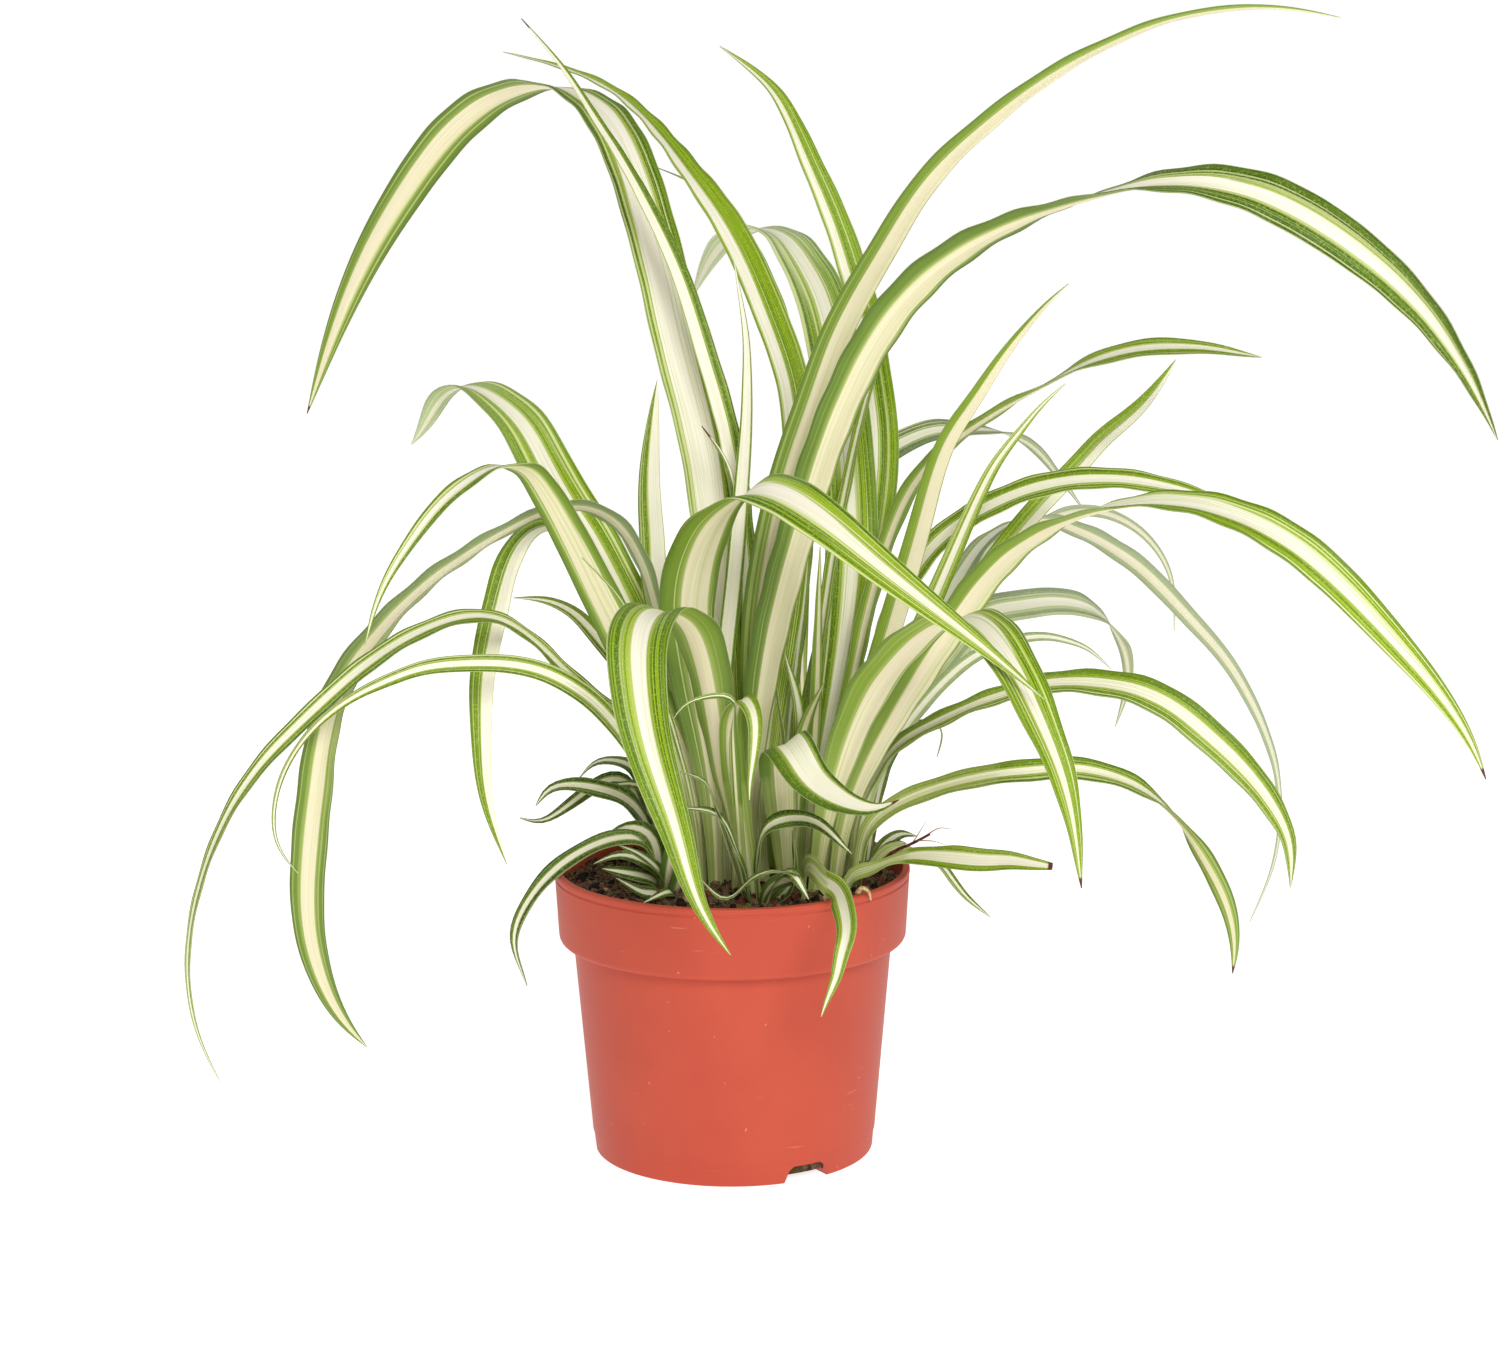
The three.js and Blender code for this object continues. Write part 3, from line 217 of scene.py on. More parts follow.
        (-9, 11, 86), (-11, 13, 121), (-47, 23, 205), (-55, 30, 216), (-66, 42, 234), (-70, 46, 241),
        (-77, 52, 247), (-86, 61, 252), (-97, 71, 253), (-104, 77, 245), (-110, 80, 234), (-113, 82, 231)]),
    "leaf_left_2": dict(width=13.5, shoulder=0.3, taper=1.6,
        turn=[49, 49, 49, 49, 49, 53, 31, -13, -33, -64], rib=[
        (-10, -7, 86), (-12, -12, 123), (-23, -15, 151), (-44, -26, 198), (-50, -32, 212),
        (-57, -43, 228), (-61, -50, 236), (-64, -58, 241), (-75, -72, 242), (-79, -77, 240),
        (-83, -82, 237), (-89, -88, 233), (-93, -92, 228), (-97, -95, 222), (-102, -99, 216),
        (-105, -102, 210), (-108, -105, 203), (-110, -108, 193)]),
    "leaf_left_3": dict(width=12.3, shoulder=0.68, taper=3.5,
        turn=[-4, -4, -4, -1, 30, 35, 59, 86, 104, 106], rib=[
        (-12, 2, 86), (-14, 2, 134), (-21, 4, 167), (-31, -3, 207), (-43, -11, 222), (-62, -22, 221),
        (-74, -29, 215), (-87, -37, 208), (-99, -44, 200), (-111, -51, 188), (-118, -56, 180),
        (-128, -63, 163), (-130, -68, 146), (-132, -73, 131), (-133, -76, 119), (-134, -79, 106),
        (-133, -82, 94), (-127, -86, 76), (-119, -88, 63), (-115, -88, 61)]),
    "leaf_left_4": dict(width=9.5, shoulder=0.5, taper=3,
        turn=[-36, -36, -36, -36, -21, -63, -68, -69], rib=[
        (-15, -3, 86), (-15, -4, 121), (-48, -7, 207), (-58, -11, 217), (-69, -18, 212), (-74, -24, 199),
        (-77, -29, 187), (-81, -34, 168), (-81, -36, 155), (-81, -38, 143), (-80, -40, 130),
        (-76, -42, 117), (-73, -43, 109)]),
    "leaf_left_5": dict(width=7, shoulder=0.5, taper=1.3,
        turn=[-66, -66, -66, -35, -19, -69, -15, -17, -76], rib=[
        (-16, -10, 86), (-17, -14, 123), (-28, -19, 145), (-50, -31, 166), (-63, -39, 182),
        (-77, -49, 193), (-98, -60, 189), (-117, -70, 178), (-132, -77, 165), (-145, -81, 153),
        (-157, -86, 136), (-166, -91, 113), (-169, -93, 99), (-170, -94, 83), (-166, -97, 64),
        (-160, -98, 53)]),
    "leaf_left_6": dict(width=6.5, taper=1.3, turn=[-81, -81, -81, -104, -85, -123, -127, -64], rib=[
        (-14, -17, 86), (-21, -21, 120), (-41, -36, 158), (-49, -40, 166), (-61, -46, 174),
        (-73, -51, 177), (-86, -57, 178), (-98, -63, 178), (-110, -69, 174), (-122, -75, 169),
        (-135, -82, 157), (-140, -85, 148), (-142, -88, 140), (-142, -91, 127), (-134, -95, 119)]),
    "leaf_left_7": dict(width=6, taper=4, turn=[-90, -90, -90, -90, -132], rib=[
        (-16, 6, 86), (-18, 8, 122), (-27, 8, 150), (-46, 4, 177), (-52, 3, 184), (-61, 0, 189),
        (-72, -3, 190)]),
    "leaf_left_8": dict(width=3, turn=[-70, -65, -50], rib=[
        (-10, -16, 86), (-14, -19, 127), (-34, -38, 193), (-47, -46, 210)]),
    # those that arch to the front
    "leaf_front_1": dict(width=19.5, taper=1.6, turn=[-21, -21, -21, -21, -29, 14, 60, 58, 59, 57], rib=[
        (-5, -12, 86), (-6, -16, 124), (-14, -26, 191), (-12, -29, 202), (-8, -37, 215), (-1, -45, 225),
        (9, -55, 233), (29, -75, 226), (43, -87, 216), (60, -101, 204), (76, -113, 193), (84, -119, 187),
        (89, -123, 183), (94, -127, 179)]),
    "leaf_front_2": dict(width=22, turn=[-48, -48, -48, -45, -18, -30, -22, -22, -20], rib=[
        (0, -17, 86), (1, -17, 110), (-4, -24, 135), (-6, -30, 154), (-9, -38, 173), (-12, -47, 186),
        (-18, -61, 194), (-25, -78, 197), (-28, -87, 192), (-27, -99, 172), (-23, -107, 156),
        (-17, -112, 139), (-12, -115, 121), (-9, -117, 112), (-3, -119, 103), (0, -120, 99)]),
    "leaf_front_3": dict(width=16, shoulder=0.5, turn=[0], rib=[
        (19, -14, 86), (17, -36, 146), (20, -49, 147), (27, -59, 138), (45, -74, 133), (53, -76, 137)]),
    "leaf_front_4": dict(width=8.4, turn=[-17, -17, -17, -14, -5, 71, 50, 51], rib=[
        (8, -19, 86), (1, -31, 134), (0, -36, 148), (1, -41, 159), (4, -45, 164), (8, -55, 160),
        (8, -57, 153), (7, -59, 145), (6, -61, 139), (6, -62, 134)]),
    "leaf_front_5": dict(width=3.6, turn=[15, 15, 15, 15, -107, -78], rib=[
        (4, -20, 86), (1, -49, 157), (2, -52, 164), (-2, -55, 167), (-7, -58, 167), (-13, -61, 166),
        (-17, -64, 163), (-18, -65, 161)]),
    # those that arch to the back
    "leaf_back_1": dict(width=11, turn=[0], rib=[
        (14, 19, 86), (15, 24, 115), (17, 38, 147), (21, 62, 167), (24, 125, 173), (27, 172, 113)]),
    "leaf_back_2": dict(width=10, turn=[0], rib=[
        (6, 15, 86), (9, 33, 151), (14, 82, 184), (13, 114, 178), (10, 152, 138)]),
    "leaf_back_3": dict(width=10, turn=[0], rib=[
        (19, 22, 86), (29, 46, 145), (40, 107, 166), (45, 135, 160), (50, 166, 121)]),
    # short young ones, still upright in the heart
    "leaf_heart_1": dict(width=7, turn=[-35], rib=[
        (14, -8, 86), (18, -12, 123), (14, -8, 169)]),
    "leaf_heart_2": dict(width=8, turn=[-45], rib=[
        (20, -5, 86), (24, -6, 144), (31, -9, 162)]),
    "leaf_heart_3": dict(width=7, turn=[40], rib=[
        (17, 3, 86), (23, 3, 147), (18, 8, 169)]),
    "leaf_heart_4": dict(width=5, turn=[-80], rib=[
        (24, -1, 86), (28, 0, 141), (30, 1, 206)]),
}

ROSETTES = {
    "rosette_left": [
        dict(width=6, turn=-45, rib=[(-27, 10, 87), (-35, 9, 124), (-42, 6, 126), (-64, -5, 114),
             (-71, -7, 116)]),
        dict(width=8.5, turn=-45, rib=[(-28, 8, 87), (-28, 6, 107), (-37, -3, 122), (-60, -14, 128),
             (-65, -16, 122)]),
        dict(width=6, turn=-40, rib=[(-25, 10, 87), (-29, 15, 117), (-33, 19, 127), (-46, 27, 128),
             (-53, 30, 121)]),
        dict(width=5, turn=-45, rib=[(-26, 9, 87), (-27, 9, 113), (-31, 6, 124), (-42, 1, 125)]),
    ],
    "rosette_front_left": [
        dict(width=6.5, turn=-45, rib=[(-25, -10, 87), (-28, -10, 108), (-37, -11, 110), (-55, -14, 103),
             (-69, -16, 88), (-73, -16, 76), (-69, -15, 60)]),
        dict(width=7, turn=-45, rib=[(-24, -9, 87), (-27, -9, 110), (-34, -8, 113), (-44, -4, 107)]),
        dict(width=4.5, turn=-45, rib=[(-25, -11, 87), (-24, -13, 98), (-37, -15, 105), (-46, -15, 102)]),
        dict(width=7, turn=-35, rib=[(-23, -12, 87), (-22, -16, 95), (-30, -25, 107), (-37, -27, 111)]),
        dict(width=6, turn=-45, rib=[(-25, -12, 87), (-25, -14, 95), (-43, -22, 102)]),
        dict(width=5, turn=-25, rib=[(-24, -13, 87), (-25, -21, 93), (-30, -27, 95), (-38, -31, 101)]),
        dict(width=4, turn=-15, rib=[(-22, -13, 87), (-20, -25, 94), (-22, -35, 97), (-29, -41, 95)]),
        dict(width=6.5, turn=-20, rib=[(-22, -12, 87), (-21, -23, 99), (-18, -30, 120)]),
        dict(width=6.5, turn=0, rib=[(-22, -13, 87), (-17, -27, 99), (-14, -32, 121)]),
    ],
    "rosette_front": [
        dict(width=9.5, turn=-30, rib=[(7, -29, 87), (1, -41, 113), (-4, -41, 124), (-17, -46, 128)]),
        dict(width=7, turn=-30, rib=[(6, -28, 87), (-5, -40, 126), (-8, -41, 135), (-17, -45, 140)]),
        dict(width=8, turn=40, rib=[(9, -28, 87), (9, -32, 109), (12, -36, 119), (26, -43, 123),
             (39, -49, 113)]),
        dict(width=6, turn=30, rib=[(9, -29, 87), (13, -38, 100), (21, -43, 104), (16, -47, 107),
             (8, -50, 106), (-2, -51, 98), (-11, -49, 106)]),
        dict(width=6.5, turn=30, rib=[(10, -29, 87), (14, -38, 100), (19, -43, 106), (25, -49, 98)]),
        dict(width=8, turn=40, rib=[(10, -27, 87), (21, -30, 100), (20, -32, 117)]),
    ],
    "rosette_right": [
        dict(width=5, turn=40, rib=[(46, 17, 87), (51, 20, 98), (58, 29, 101), (64, 35, 99)]),
        dict(width=4, turn=40, rib=[(45, 17, 87), (50, 36, 111), (57, 65, 123), (71, 98, 127),
             (77, 107, 121), (75, 110, 111)]),
        dict(width=4, turn=40, rib=[(47, 16, 87), (52, 17, 98), (56, 20, 100), (60, 24, 99)]),
    ],
}

# ---- what the CAD model leaves out ---------------------------------------------------------------

#   cream, shift   half width of the cream band, and its middle, from -1 to 1 across the blade
#   lines          how strong the fine stripes in the green are
#   tone           0 is bright yellow-green, 1 is deep green
#   pale           how far it is bleached by the light from behind
#   dry            length of the brown tip
#   fold, wave     degrees that each half is lifted, and height of the ripple along the edges
#   tip            width of the very end
#   foot           how pale the foot is
DEFAULT_LOOK = dict(cream=0.38, shift=0.0, lines=0.6, tone=0.3, pale=0.0, dry=0.0, fold=17, wave=0.35,
                    tip=0.3, foot=1.0)

# How a leaf differs from the default look. A row of values runs from foot to tip.
LOOKS = {
    "leaf_tall_1": dict(cream=0.55, shift=-0.4, tone=0.5, dry=9, fold=12),
    "leaf_tall_2": dict(cream=(0.62, 0.62, 0.6, 0.45, 0.45, 0.4), shift=(-0.2, -0.2, -0.1, 0, 0, 0),
                        tone=(0.3, 0.3, 0.35, 0.6, 0.7, 0.4), lines=0.8, fold=14, dry=6),
    "leaf_tall_3": dict(cream=0.32, shift=-0.5, lines=0.8, tone=0.0),
    "leaf_tall_4": dict(cream=0.3, tone=0.3, dry=5),
    "leaf_tall_5": dict(cream=(0.3, 0.3, 0.28, 0.34), lines=1.0, tone=(0.3, 0.2, 0.1, 0.1), fold=20,
                        pale=(0, 0, 0, 0, 0, 0.1, 0.4, 0.6)),
    "leaf_tall_6": dict(cream=0.3, shift=-0.5, tone=0.05, lines=0.8),
    "leaf_tall_7": dict(cream=0.62, shift=-0.4, tone=0.5, fold=17),
    "leaf_tall_8": dict(cream=(0.62, 0.62, 0.6, 0.32, 0.3), shift=(-0.25, -0.25, -0.2, 0, 0), tone=0.8,
                        fold=18),
    "leaf_tall_9": dict(cream=0.72, tone=0.5),
    "leaf_tall_10": dict(cream=0.3, tone=0.2),
    "leaf_tall_11": dict(cream=0.6, shift=0.4, tone=0.5),
    "leaf_tall_12": dict(cream=0.4, shift=0.3, tone=0.7, dry=10),
    "leaf_right_1": dict(cream=0.6, shift=-0.4, tone=0.2),
    "leaf_right_2": dict(cream=0.34, tone=0.2),
    "leaf_right_3": dict(cream=0.34, tone=0.3),
    "leaf_right_4": dict(cream=0.4, shift=0.55, tone=0.1),
    "leaf_right_5": dict(cream=0.3, lines=1.0, tone=0.85, pale=(0, 0, 0.05, 0.2, 0.4)),
    "leaf_right_6": dict(cream=0.34, lines=0.8, tone=0.35),
    "leaf_right_7": dict(cream=(0.65, 0.65, 0.6, 0.33, 0.3), shift=(-0.3, -0.3, -0.2, 0, 0), lines=1.0,
                         tone=(0.5, 0.5, 0.2, 0.05, 0.05), dry=7, fold=20),
    "leaf_right_8": dict(cream=0.4, tone=0.6, pale=0.35),
    "leaf_right_9": dict(cream=0.42, tone=0.6, pale=(0.2, 0.2, 0.35, 0.4)),
    "leaf_right_10": dict(cream=0.34, tone=0.7, pale=0.3),
    "leaf_right_11": dict(cream=0.4, tone=0.5, pale=0.25),
    "leaf_right_12": dict(cream=(0.6, 0.6, 0.5, 0.24, 0.2), shift=(-0.3, -0.3, -0.15, 0, 0), lines=1.0,
                          tone=(0.5, 0.4, 0.1, 0, 0), dry=6, fold=22),
    "leaf_right_13": dict(cream=0.36, lines=0.9, tone=0.3),
    "leaf_right_14": dict(cream=0.34, tone=0.45, dry=5),
    "leaf_right_15": dict(cream=0.5, tone=0.3, dry=3, tip=2.3, wave=0.6),
    "leaf_right_16": dict(cream=0.3, tone=0.7),
    "leaf_right_17": dict(cream=0.4, tone=0.2, wave=0.5),
    "leaf_left_1": dict(cream=0.24, lines=1.0, tone=0.05, fold=20, pale=(0, 0, 0, 0, 0.1, 0.5)),
    "leaf_left_2": dict(cream=(0.65, 0.65, 0.55, 0.4, 0.3), tone=0.5, lines=1.0),
    "leaf_left_3": dict(cream=0.45, tone=0.65, pale=(0.2, 0.2, 0.2, 0, 0)),
    "leaf_left_4": dict(cream=0.5, shift=-0.5, tone=0.35),
    "leaf_left_5": dict(cream=0.36, lines=1.0, tone=0.6),
    "leaf_left_6": dict(cream=0.36, lines=1.0, tone=0.6),
    "leaf_left_7": dict(cream=0.36, tone=0.6),
    "leaf_front_1": dict(cream=(0.6, 0.6, 0.5, 0.28, 0.26), shift=(-0.3, -0.3, -0.15, 0, 0), lines=1.0,
                         tone=(0.85, 0.8, 0.4, 0.1, 0.05), fold=20),
    "leaf_front_2": dict(cream=(0.5, 0.4, 0.27, 0.26), lines=0.35, tone=(0.7, 0.5, 0.15, 0.05), fold=19),
    "leaf_front_3": dict(cream=0.58, shift=-0.15, tone=0.8, dry=5),
    "leaf_front_4": dict(cream=0.4, tone=0.3),
    "leaf_front_5": dict(cream=0.2, tone=0.8),
    # the rosettes' deep tone and hardly paled foot are partly the young leaves' own colour and partly
    # painted shade, the shade that falls in the crowded heart under the taller leaves
    "rosette": dict(cream=0.34, tone=1.0, wave=0.6, lines=0.3, foot=0.1),
}

# ---- what lies on the soil -----------------------------------------------------------------------

CRUMBS = 2600
FIBRES = 420
MOSS_CLUMPS = 26
GRAINS_IN_A_CLUMP = 26

# bark chips: piece, how many, and two colours
CHIPS = (
    ("chips_red", 130, (130, 68, 48), (92, 46, 34)),
    ("chips_dark", 170, (44, 32, 26), (26, 20, 18)),
    ("chips_pale", 60, (176, 148, 112), (136, 108, 78)),
)

# dry bits of root, twig and leaf, also beside the stalk and on the rim: piece, material, two colours, share
# of the thickness left at the tip, sides, and the path and thickness of each
RODS = (
    ("rootlets", "rootlet", (196, 148, 116), (160, 104, 80), 0.25, 5, (
        (((65, 4, 106), (70, 4, 109), (74, 3, 109)), 0.6),
        (((63, 3, 105), (68, 2, 105), (72, 1, 104)), 0.5),
        (((61, 3, 104), (64, 6, 108), (66, 7, 111)), 0.5),
        (((57, 2, 102), (61, 0, 102), (65, -1, 103)), 0.5),
        (((33, -33, 93), (37, -36, 96), (41, -37, 95), (43, -40, 93)), 0.6),
        (((36, -30, 93), (39, -33, 97), (38, -37, 99)), 0.4),
    )),
    ("twigs", "twig", (84, 48, 40), (54, 30, 28), 0.4, 6, (
        (((39, -14, 93), (42, -15, 98), (43, -14, 104)), 1.0),
        (((-40, -24, 93), (-34, -30, 94), (-28, -36, 93)), 1.1),
        (((22, -44, 93), (29, -42, 94), (35, -38, 93)), 0.9),
    )),
    ("rim_curl", "rim_curl", (214, 186, 140), (168, 128, 88), 0.35, 8, (
        (((41.0, -41.5, 98.3), (42.6, -44.0, 100.6), (44.6, -43.0, 99.0), (45.4, -41.2, 95.6)), 1.7),
    )),
)

# ---- how a blade is made -------------------------------------------------------------------------

# columns of points on each side of the rib, and the step along it
HALF_COLUMNS = 6
STATION = 2.6
THICKNESS = 0.7
# share of the blade's length over which its rib is evened out, and how much further its turn is
EVENING = 0.027
TURN_EVENING = 1.9
# the fold that the CAD model's widths allow for, and the steeper one at a blade's foot
LEVEL_FOLD = 17
FOOT_FOLD = 34
FOOT_SHARE = 0.3
# shortest and longest ripple along a blade's edges
RIPPLES = (17, 26)
# a pale foot is palest up to PALE_REACH under PALE_TOP, and only in the first PALE_SHARE of a blade
PALE_TOP = 157.5
PALE_REACH = 62
PALE_SHARE = 0.4
# how much of a look's cream half width is drawn cream
BAND_SHARE = 0.9


# ---- helpers -------------------------------------------------------------------------------------

def linear(r, g, b):
    """An sRGB colour, 0 to 255, as Blender's linear one."""
    def channel(c):
        c /= 255
        return c / 12.92 if c <= 0.04045 else ((c + 0.055) / 1.055) ** 2.4
    return (channel(r), channel(g), channel(b), 1.0)


def smooth(t):
    t = min(max(t, 0.0), 1.0)
    return t * t * (3 - 2 * t)


def link(name, mesh, material):
    piece = bpy.data.objects.new(name, mesh)
    bpy.context.scene.collection.objects.link(piece)
    if material:
        mesh.materials.append(material)
    return piece


def mesh_from(name, points, faces):
    """A mesh from points in millimetres."""
    mesh = bpy.data.meshes.new(name)
    mesh.from_pydata([tuple(c * MM for c in p) for p in points], [], faces)
    mesh.update()
    return mesh


def smooth_shade(mesh, degrees):
    mesh.shade_smooth()
    mesh.set_sharp_from_angle(angle=math.radians(degrees))


class Nodes:
    """A material's node tree, with one short call for each kind of node."""

    def __init__(self, name):
        self.material = bpy.data.materials.new(name)
        self.material.use_nodes = True
        self.tree = self.material.node_tree
        self.shader = self.tree.nodes["Principled BSDF"]

    def new(self, kind, **values):
        node = self.tree.nodes.new(kind)
        for key, value in values.items():
            setattr(node, key, value)
        return node

    def put(self, socket, value):
        if isinstance(value, bpy.types.NodeSocket):
            self.tree.links.new(value, socket)
        else:
            socket.default_value = value

    def attribute(self, name):
        return self.new("ShaderNodeAttribute", attribute_name=name).outputs["Fac"]

    def math(self, operation, a, b=0.0, c=0.0, clamp=False):
        node = self.new("ShaderNodeMath", operation=operation, use_clamp=clamp)
        for socket, value in zip(node.inputs, (a, b, c)):
            self.put(socket, value)
        return node.outputs[0]

    def times(self, a, b):
        return self.math("MULTIPLY", a, b)

    def ramp(self, value, low, high, to_low=0.0, to_high=1.0):
        """Smooth step from to_low at low to to_high at high."""
        node = self.new("ShaderNodeMapRange", interpolation_type="SMOOTHSTEP")
        for socket, number in zip(node.inputs[:5], (value, low, high, to_low, to_high)):
            self.put(socket, number)
        return node.outputs[0]

    def mix(self, share, a, b):
        node = self.new("ShaderNodeMix", data_type="RGBA")
        self.put(node.inputs["Factor"], share)
        self.put(node.inputs["A"], a)
        self.put(node.inputs["B"], b)
        return node.outputs["Result"]

    def vector(self, x, y, z):
        node = self.new("ShaderNodeCombineXYZ")
        for socket, value in zip(node.inputs, (x, y, z)):
            self.put(socket, value)
        return node.outputs[0]

    def noise(self, vector, scale, detail=2.0, roughness=0.5):
        node = self.new("ShaderNodeTexNoise")
        self.put(node.inputs["Vector"], vector)
        self.put(node.inputs["Scale"], scale)
        self.put(node.inputs["Detail"], detail)
        self.put(node.inputs["Roughness"], roughness)
        return node.outputs["Fac"]

    def place(self):
        return self.new("ShaderNodeTexCoord").outputs["Object"]

    def bump(self, height, strength, distance):
        node = self.new("ShaderNodeBump")
        node.inputs["Strength"].default_value = strength
        node.inputs["Distance"].default_value = distance
        self.put(node.inputs["Height"], height)
        self.put(self.shader.inputs["Normal"], node.outputs[0])

    def finish(self, colour, roughness, specular=0.5):
        self.put(self.shader.inputs["Base Color"], colour)
        self.put(self.shader.inputs["Roughness"], roughness)
        self.shader.inputs["Specular IOR Level"].default_value = specular
        return self.material


# ---- materials -----------------------------------------------------------------------------------

def leaf_material():
    """Stripes run along the blade: every mask is worked out from the place across it."""
    n = Nodes("leaf")
    across, along, seed = n.attribute("across"), n.attribute("along"), n.attribute("seed")
    drift = n.noise(n.vector(seed, n.times(along, 0.012), 0.0), 1.0)
    x = n.math("ADD", across, n.math("MULTIPLY_ADD", drift, 0.16, -0.08))
    lane = n.vector(n.times(x, 7.0), n.times(along, 0.0035), seed)
    broad = n.noise(lane, 1.0, 1.0)
    lane_fine = n.vector(n.times(x, 26.0), n.times(along, 0.009), seed)
    fine = n.noise(lane_fine, 1.0, 2.0)
    vein_lane = n.vector(n.times(across, 60.0), n.times(along, 0.02), seed)
    veins = n.noise(vein_lane, 1.0, 1.0)

    # how deep into the green margin a point is: below 0 in the cream band, 1 at the edge
    from_middle = n.math("ABSOLUTE", n.math("SUBTRACT", x, n.attribute("shift")))
    cream_half = n.times(n.attribute("cream"), BAND_SHARE)
    margin = n.math("SUBTRACT", from_middle, cream_half)
    margin = n.math("ADD", margin, n.math("MULTIPLY_ADD", broad, 0.22, -0.11))
    margin = n.math("ADD", margin, n.math("MULTIPLY_ADD", fine, 0.10, -0.05))
    green_share = n.ramp(margin, -0.015, 0.03)

    tone = n.attribute("tone")
    bright = n.mix(tone, linear(166, 196, 22), linear(86, 120, 30))
    deep = n.mix(tone, linear(80, 114, 4), linear(30, 54, 10))
    green = n.mix(n.ramp(fine, 0.35, 0.65), bright, deep)
    speckle = n.ramp(n.noise(n.place(), 1500.0, 1.0), 0.5, 0.7)
    green = n.mix(n.times(speckle, 0.3), green, linear(194, 214, 100))
    near_edge = n.ramp(n.math("ABSOLUTE", across), 0.7, 1.0)
    green = n.mix(n.times(near_edge, 0.6), green, deep)
    near_cream = n.ramp(margin, 0.22, 0.0)
    green = n.mix(n.times(near_cream, 0.62), green, linear(198, 212, 104))
    lines = n.times(n.ramp(broad, 0.57, 0.63), n.attribute("lines"))
    green = n.mix(lines, green, linear(214, 222, 150))

    cream = n.mix(n.ramp(veins, 0.3, 0.7), linear(253, 249, 233), linear(243, 237, 208))
    hint = n.times(n.ramp(fine, 0.56, 0.64), n.attribute("lines"))
    cream = n.mix(n.times(hint, 0.7), cream, linear(186, 204, 110))
    colour = n.mix(green_share, cream, green)

    # the foot is pale all over, the rim of the blade is a thin light line
    foot = n.attribute("foot")
    pale_foot = n.mix(n.ramp(broad, 0.35, 0.65), linear(230, 232, 164), linear(158, 182, 74))
    colour = n.mix(n.times(foot, 0.65), colour, pale_foot)
    rim = n.ramp(n.math("ABSOLUTE", across), 0.955, 0.985)
    colour = n.mix(n.times(rim, 0.6), colour, linear(196, 210, 136))

    # the underside is duller and greyer, its own colour, but its greens stay lighter than the upper side's
    # deep greens: painted light shining through the thin blade
    under_green_lit_through = n.mix(tone, linear(140, 168, 50), linear(92, 120, 44))
    under_green_lit_through = n.mix(n.times(near_edge, 0.5), under_green_lit_through, linear(66, 88, 34))
    under_green_lit_through = n.mix(n.times(near_cream, 0.5), under_green_lit_through, linear(190, 202, 116))
    under_cream = n.mix(n.ramp(veins, 0.3, 0.7), linear(238, 230, 198), linear(226, 217, 176))
    under_colour = n.mix(green_share, under_cream, under_green_lit_through)
    under_colour = n.mix(n.times(lines, 0.7), under_colour, linear(204, 212, 140))
    under_foot = n.mix(n.ramp(broad, 0.4, 0.6), linear(218, 222, 150), linear(164, 184, 90))
    under_colour = n.mix(n.times(foot, 0.6), under_colour, under_foot)
    colour = n.mix(n.attribute("under"), colour, under_colour)
    colour = n.mix(n.attribute("pale"), colour, linear(226, 230, 214))

    dry_colour = n.mix(fine, linear(120, 62, 46), linear(70, 40, 34))
    colour = n.mix(n.ramp(n.attribute("dry"), 0.35, 0.6), colour, dry_colour)

    n.bump(n.math("ADD", veins, n.times(fine, 0.5)), 0.25, 0.0003)
    return n.finish(colour, 0.44, 0.27)


def pot_material():
    n = Nodes("pot")
    place = n.place()
    cloud = n.noise(place, 28.0, 3.0)
    grain = n.noise(place, 900.0, 2.0)
    colour = n.mix(n.ramp(cloud, 0.3, 0.7), linear(189, 76, 56), linear(196, 82, 60))
    speck = n.ramp(n.noise(place, 420.0, 1.0), 0.78, 0.81)
    colour = n.mix(n.times(speck, 0.4), colour, linear(226, 168, 148))
    dust = n.ramp(n.noise(place, 1300.0, 1.0), 0.76, 0.80)
    colour = n.mix(n.times(dust, 0.5), colour, linear(120, 50, 40))
    split = n.new("ShaderNodeSeparateXYZ")
    n.put(split.inputs[0], place)
    scales = (60.0, 60.0, 900.0)
    stretched = n.vector(*[n.times(part, scale) for part, scale in zip(split.outputs, scales)])
    scuff = n.ramp(n.noise(stretched, 1.0, 2.0), 0.70, 0.76)
    patch = n.ramp(n.noise(place, 22.0, 1.0), 0.56, 0.66)
    colour = n.mix(n.times(n.times(scuff, patch), 0.45), colour, linear(232, 158, 136))
    n.bump(n.math("ADD", grain, n.times(cloud, 2.0)), 0.06, 0.0002)
    return n.finish(colour, n.ramp(cloud, 0.2, 0.8, 0.46, 0.54), 0.22)


def soil_material():
    n = Nodes("soil")
    place = n.place()
    lumps = n.noise(place, 350.0, 4.0, 0.65)
    colour = n.mix(n.ramp(lumps, 0.35, 0.65), linear(56, 44, 34), linear(124, 98, 74))
    damp = n.noise(place, 60.0, 2.0)
    colour = n.mix(n.ramp(damp, 0.55, 0.7), colour, linear(70, 62, 34))
    n.bump(lumps, 0.8, 0.0008)
    return n.finish(colour, 0.95, 0.15)


def litter_material(name, colour, other, scale=700.0):
    """Two tones and a rough surface, for the small things on and around the soil."""
    n = Nodes(name)
    tone = n.noise(n.place(), scale, 3.0)
    n.bump(tone, 0.5, 0.0003)
    return n.finish(n.mix(n.ramp(tone, 0.35, 0.65), linear(*colour), linear(*other)), 0.85, 0.15)


# ---- blades --------------------------------------------------------------------------------------

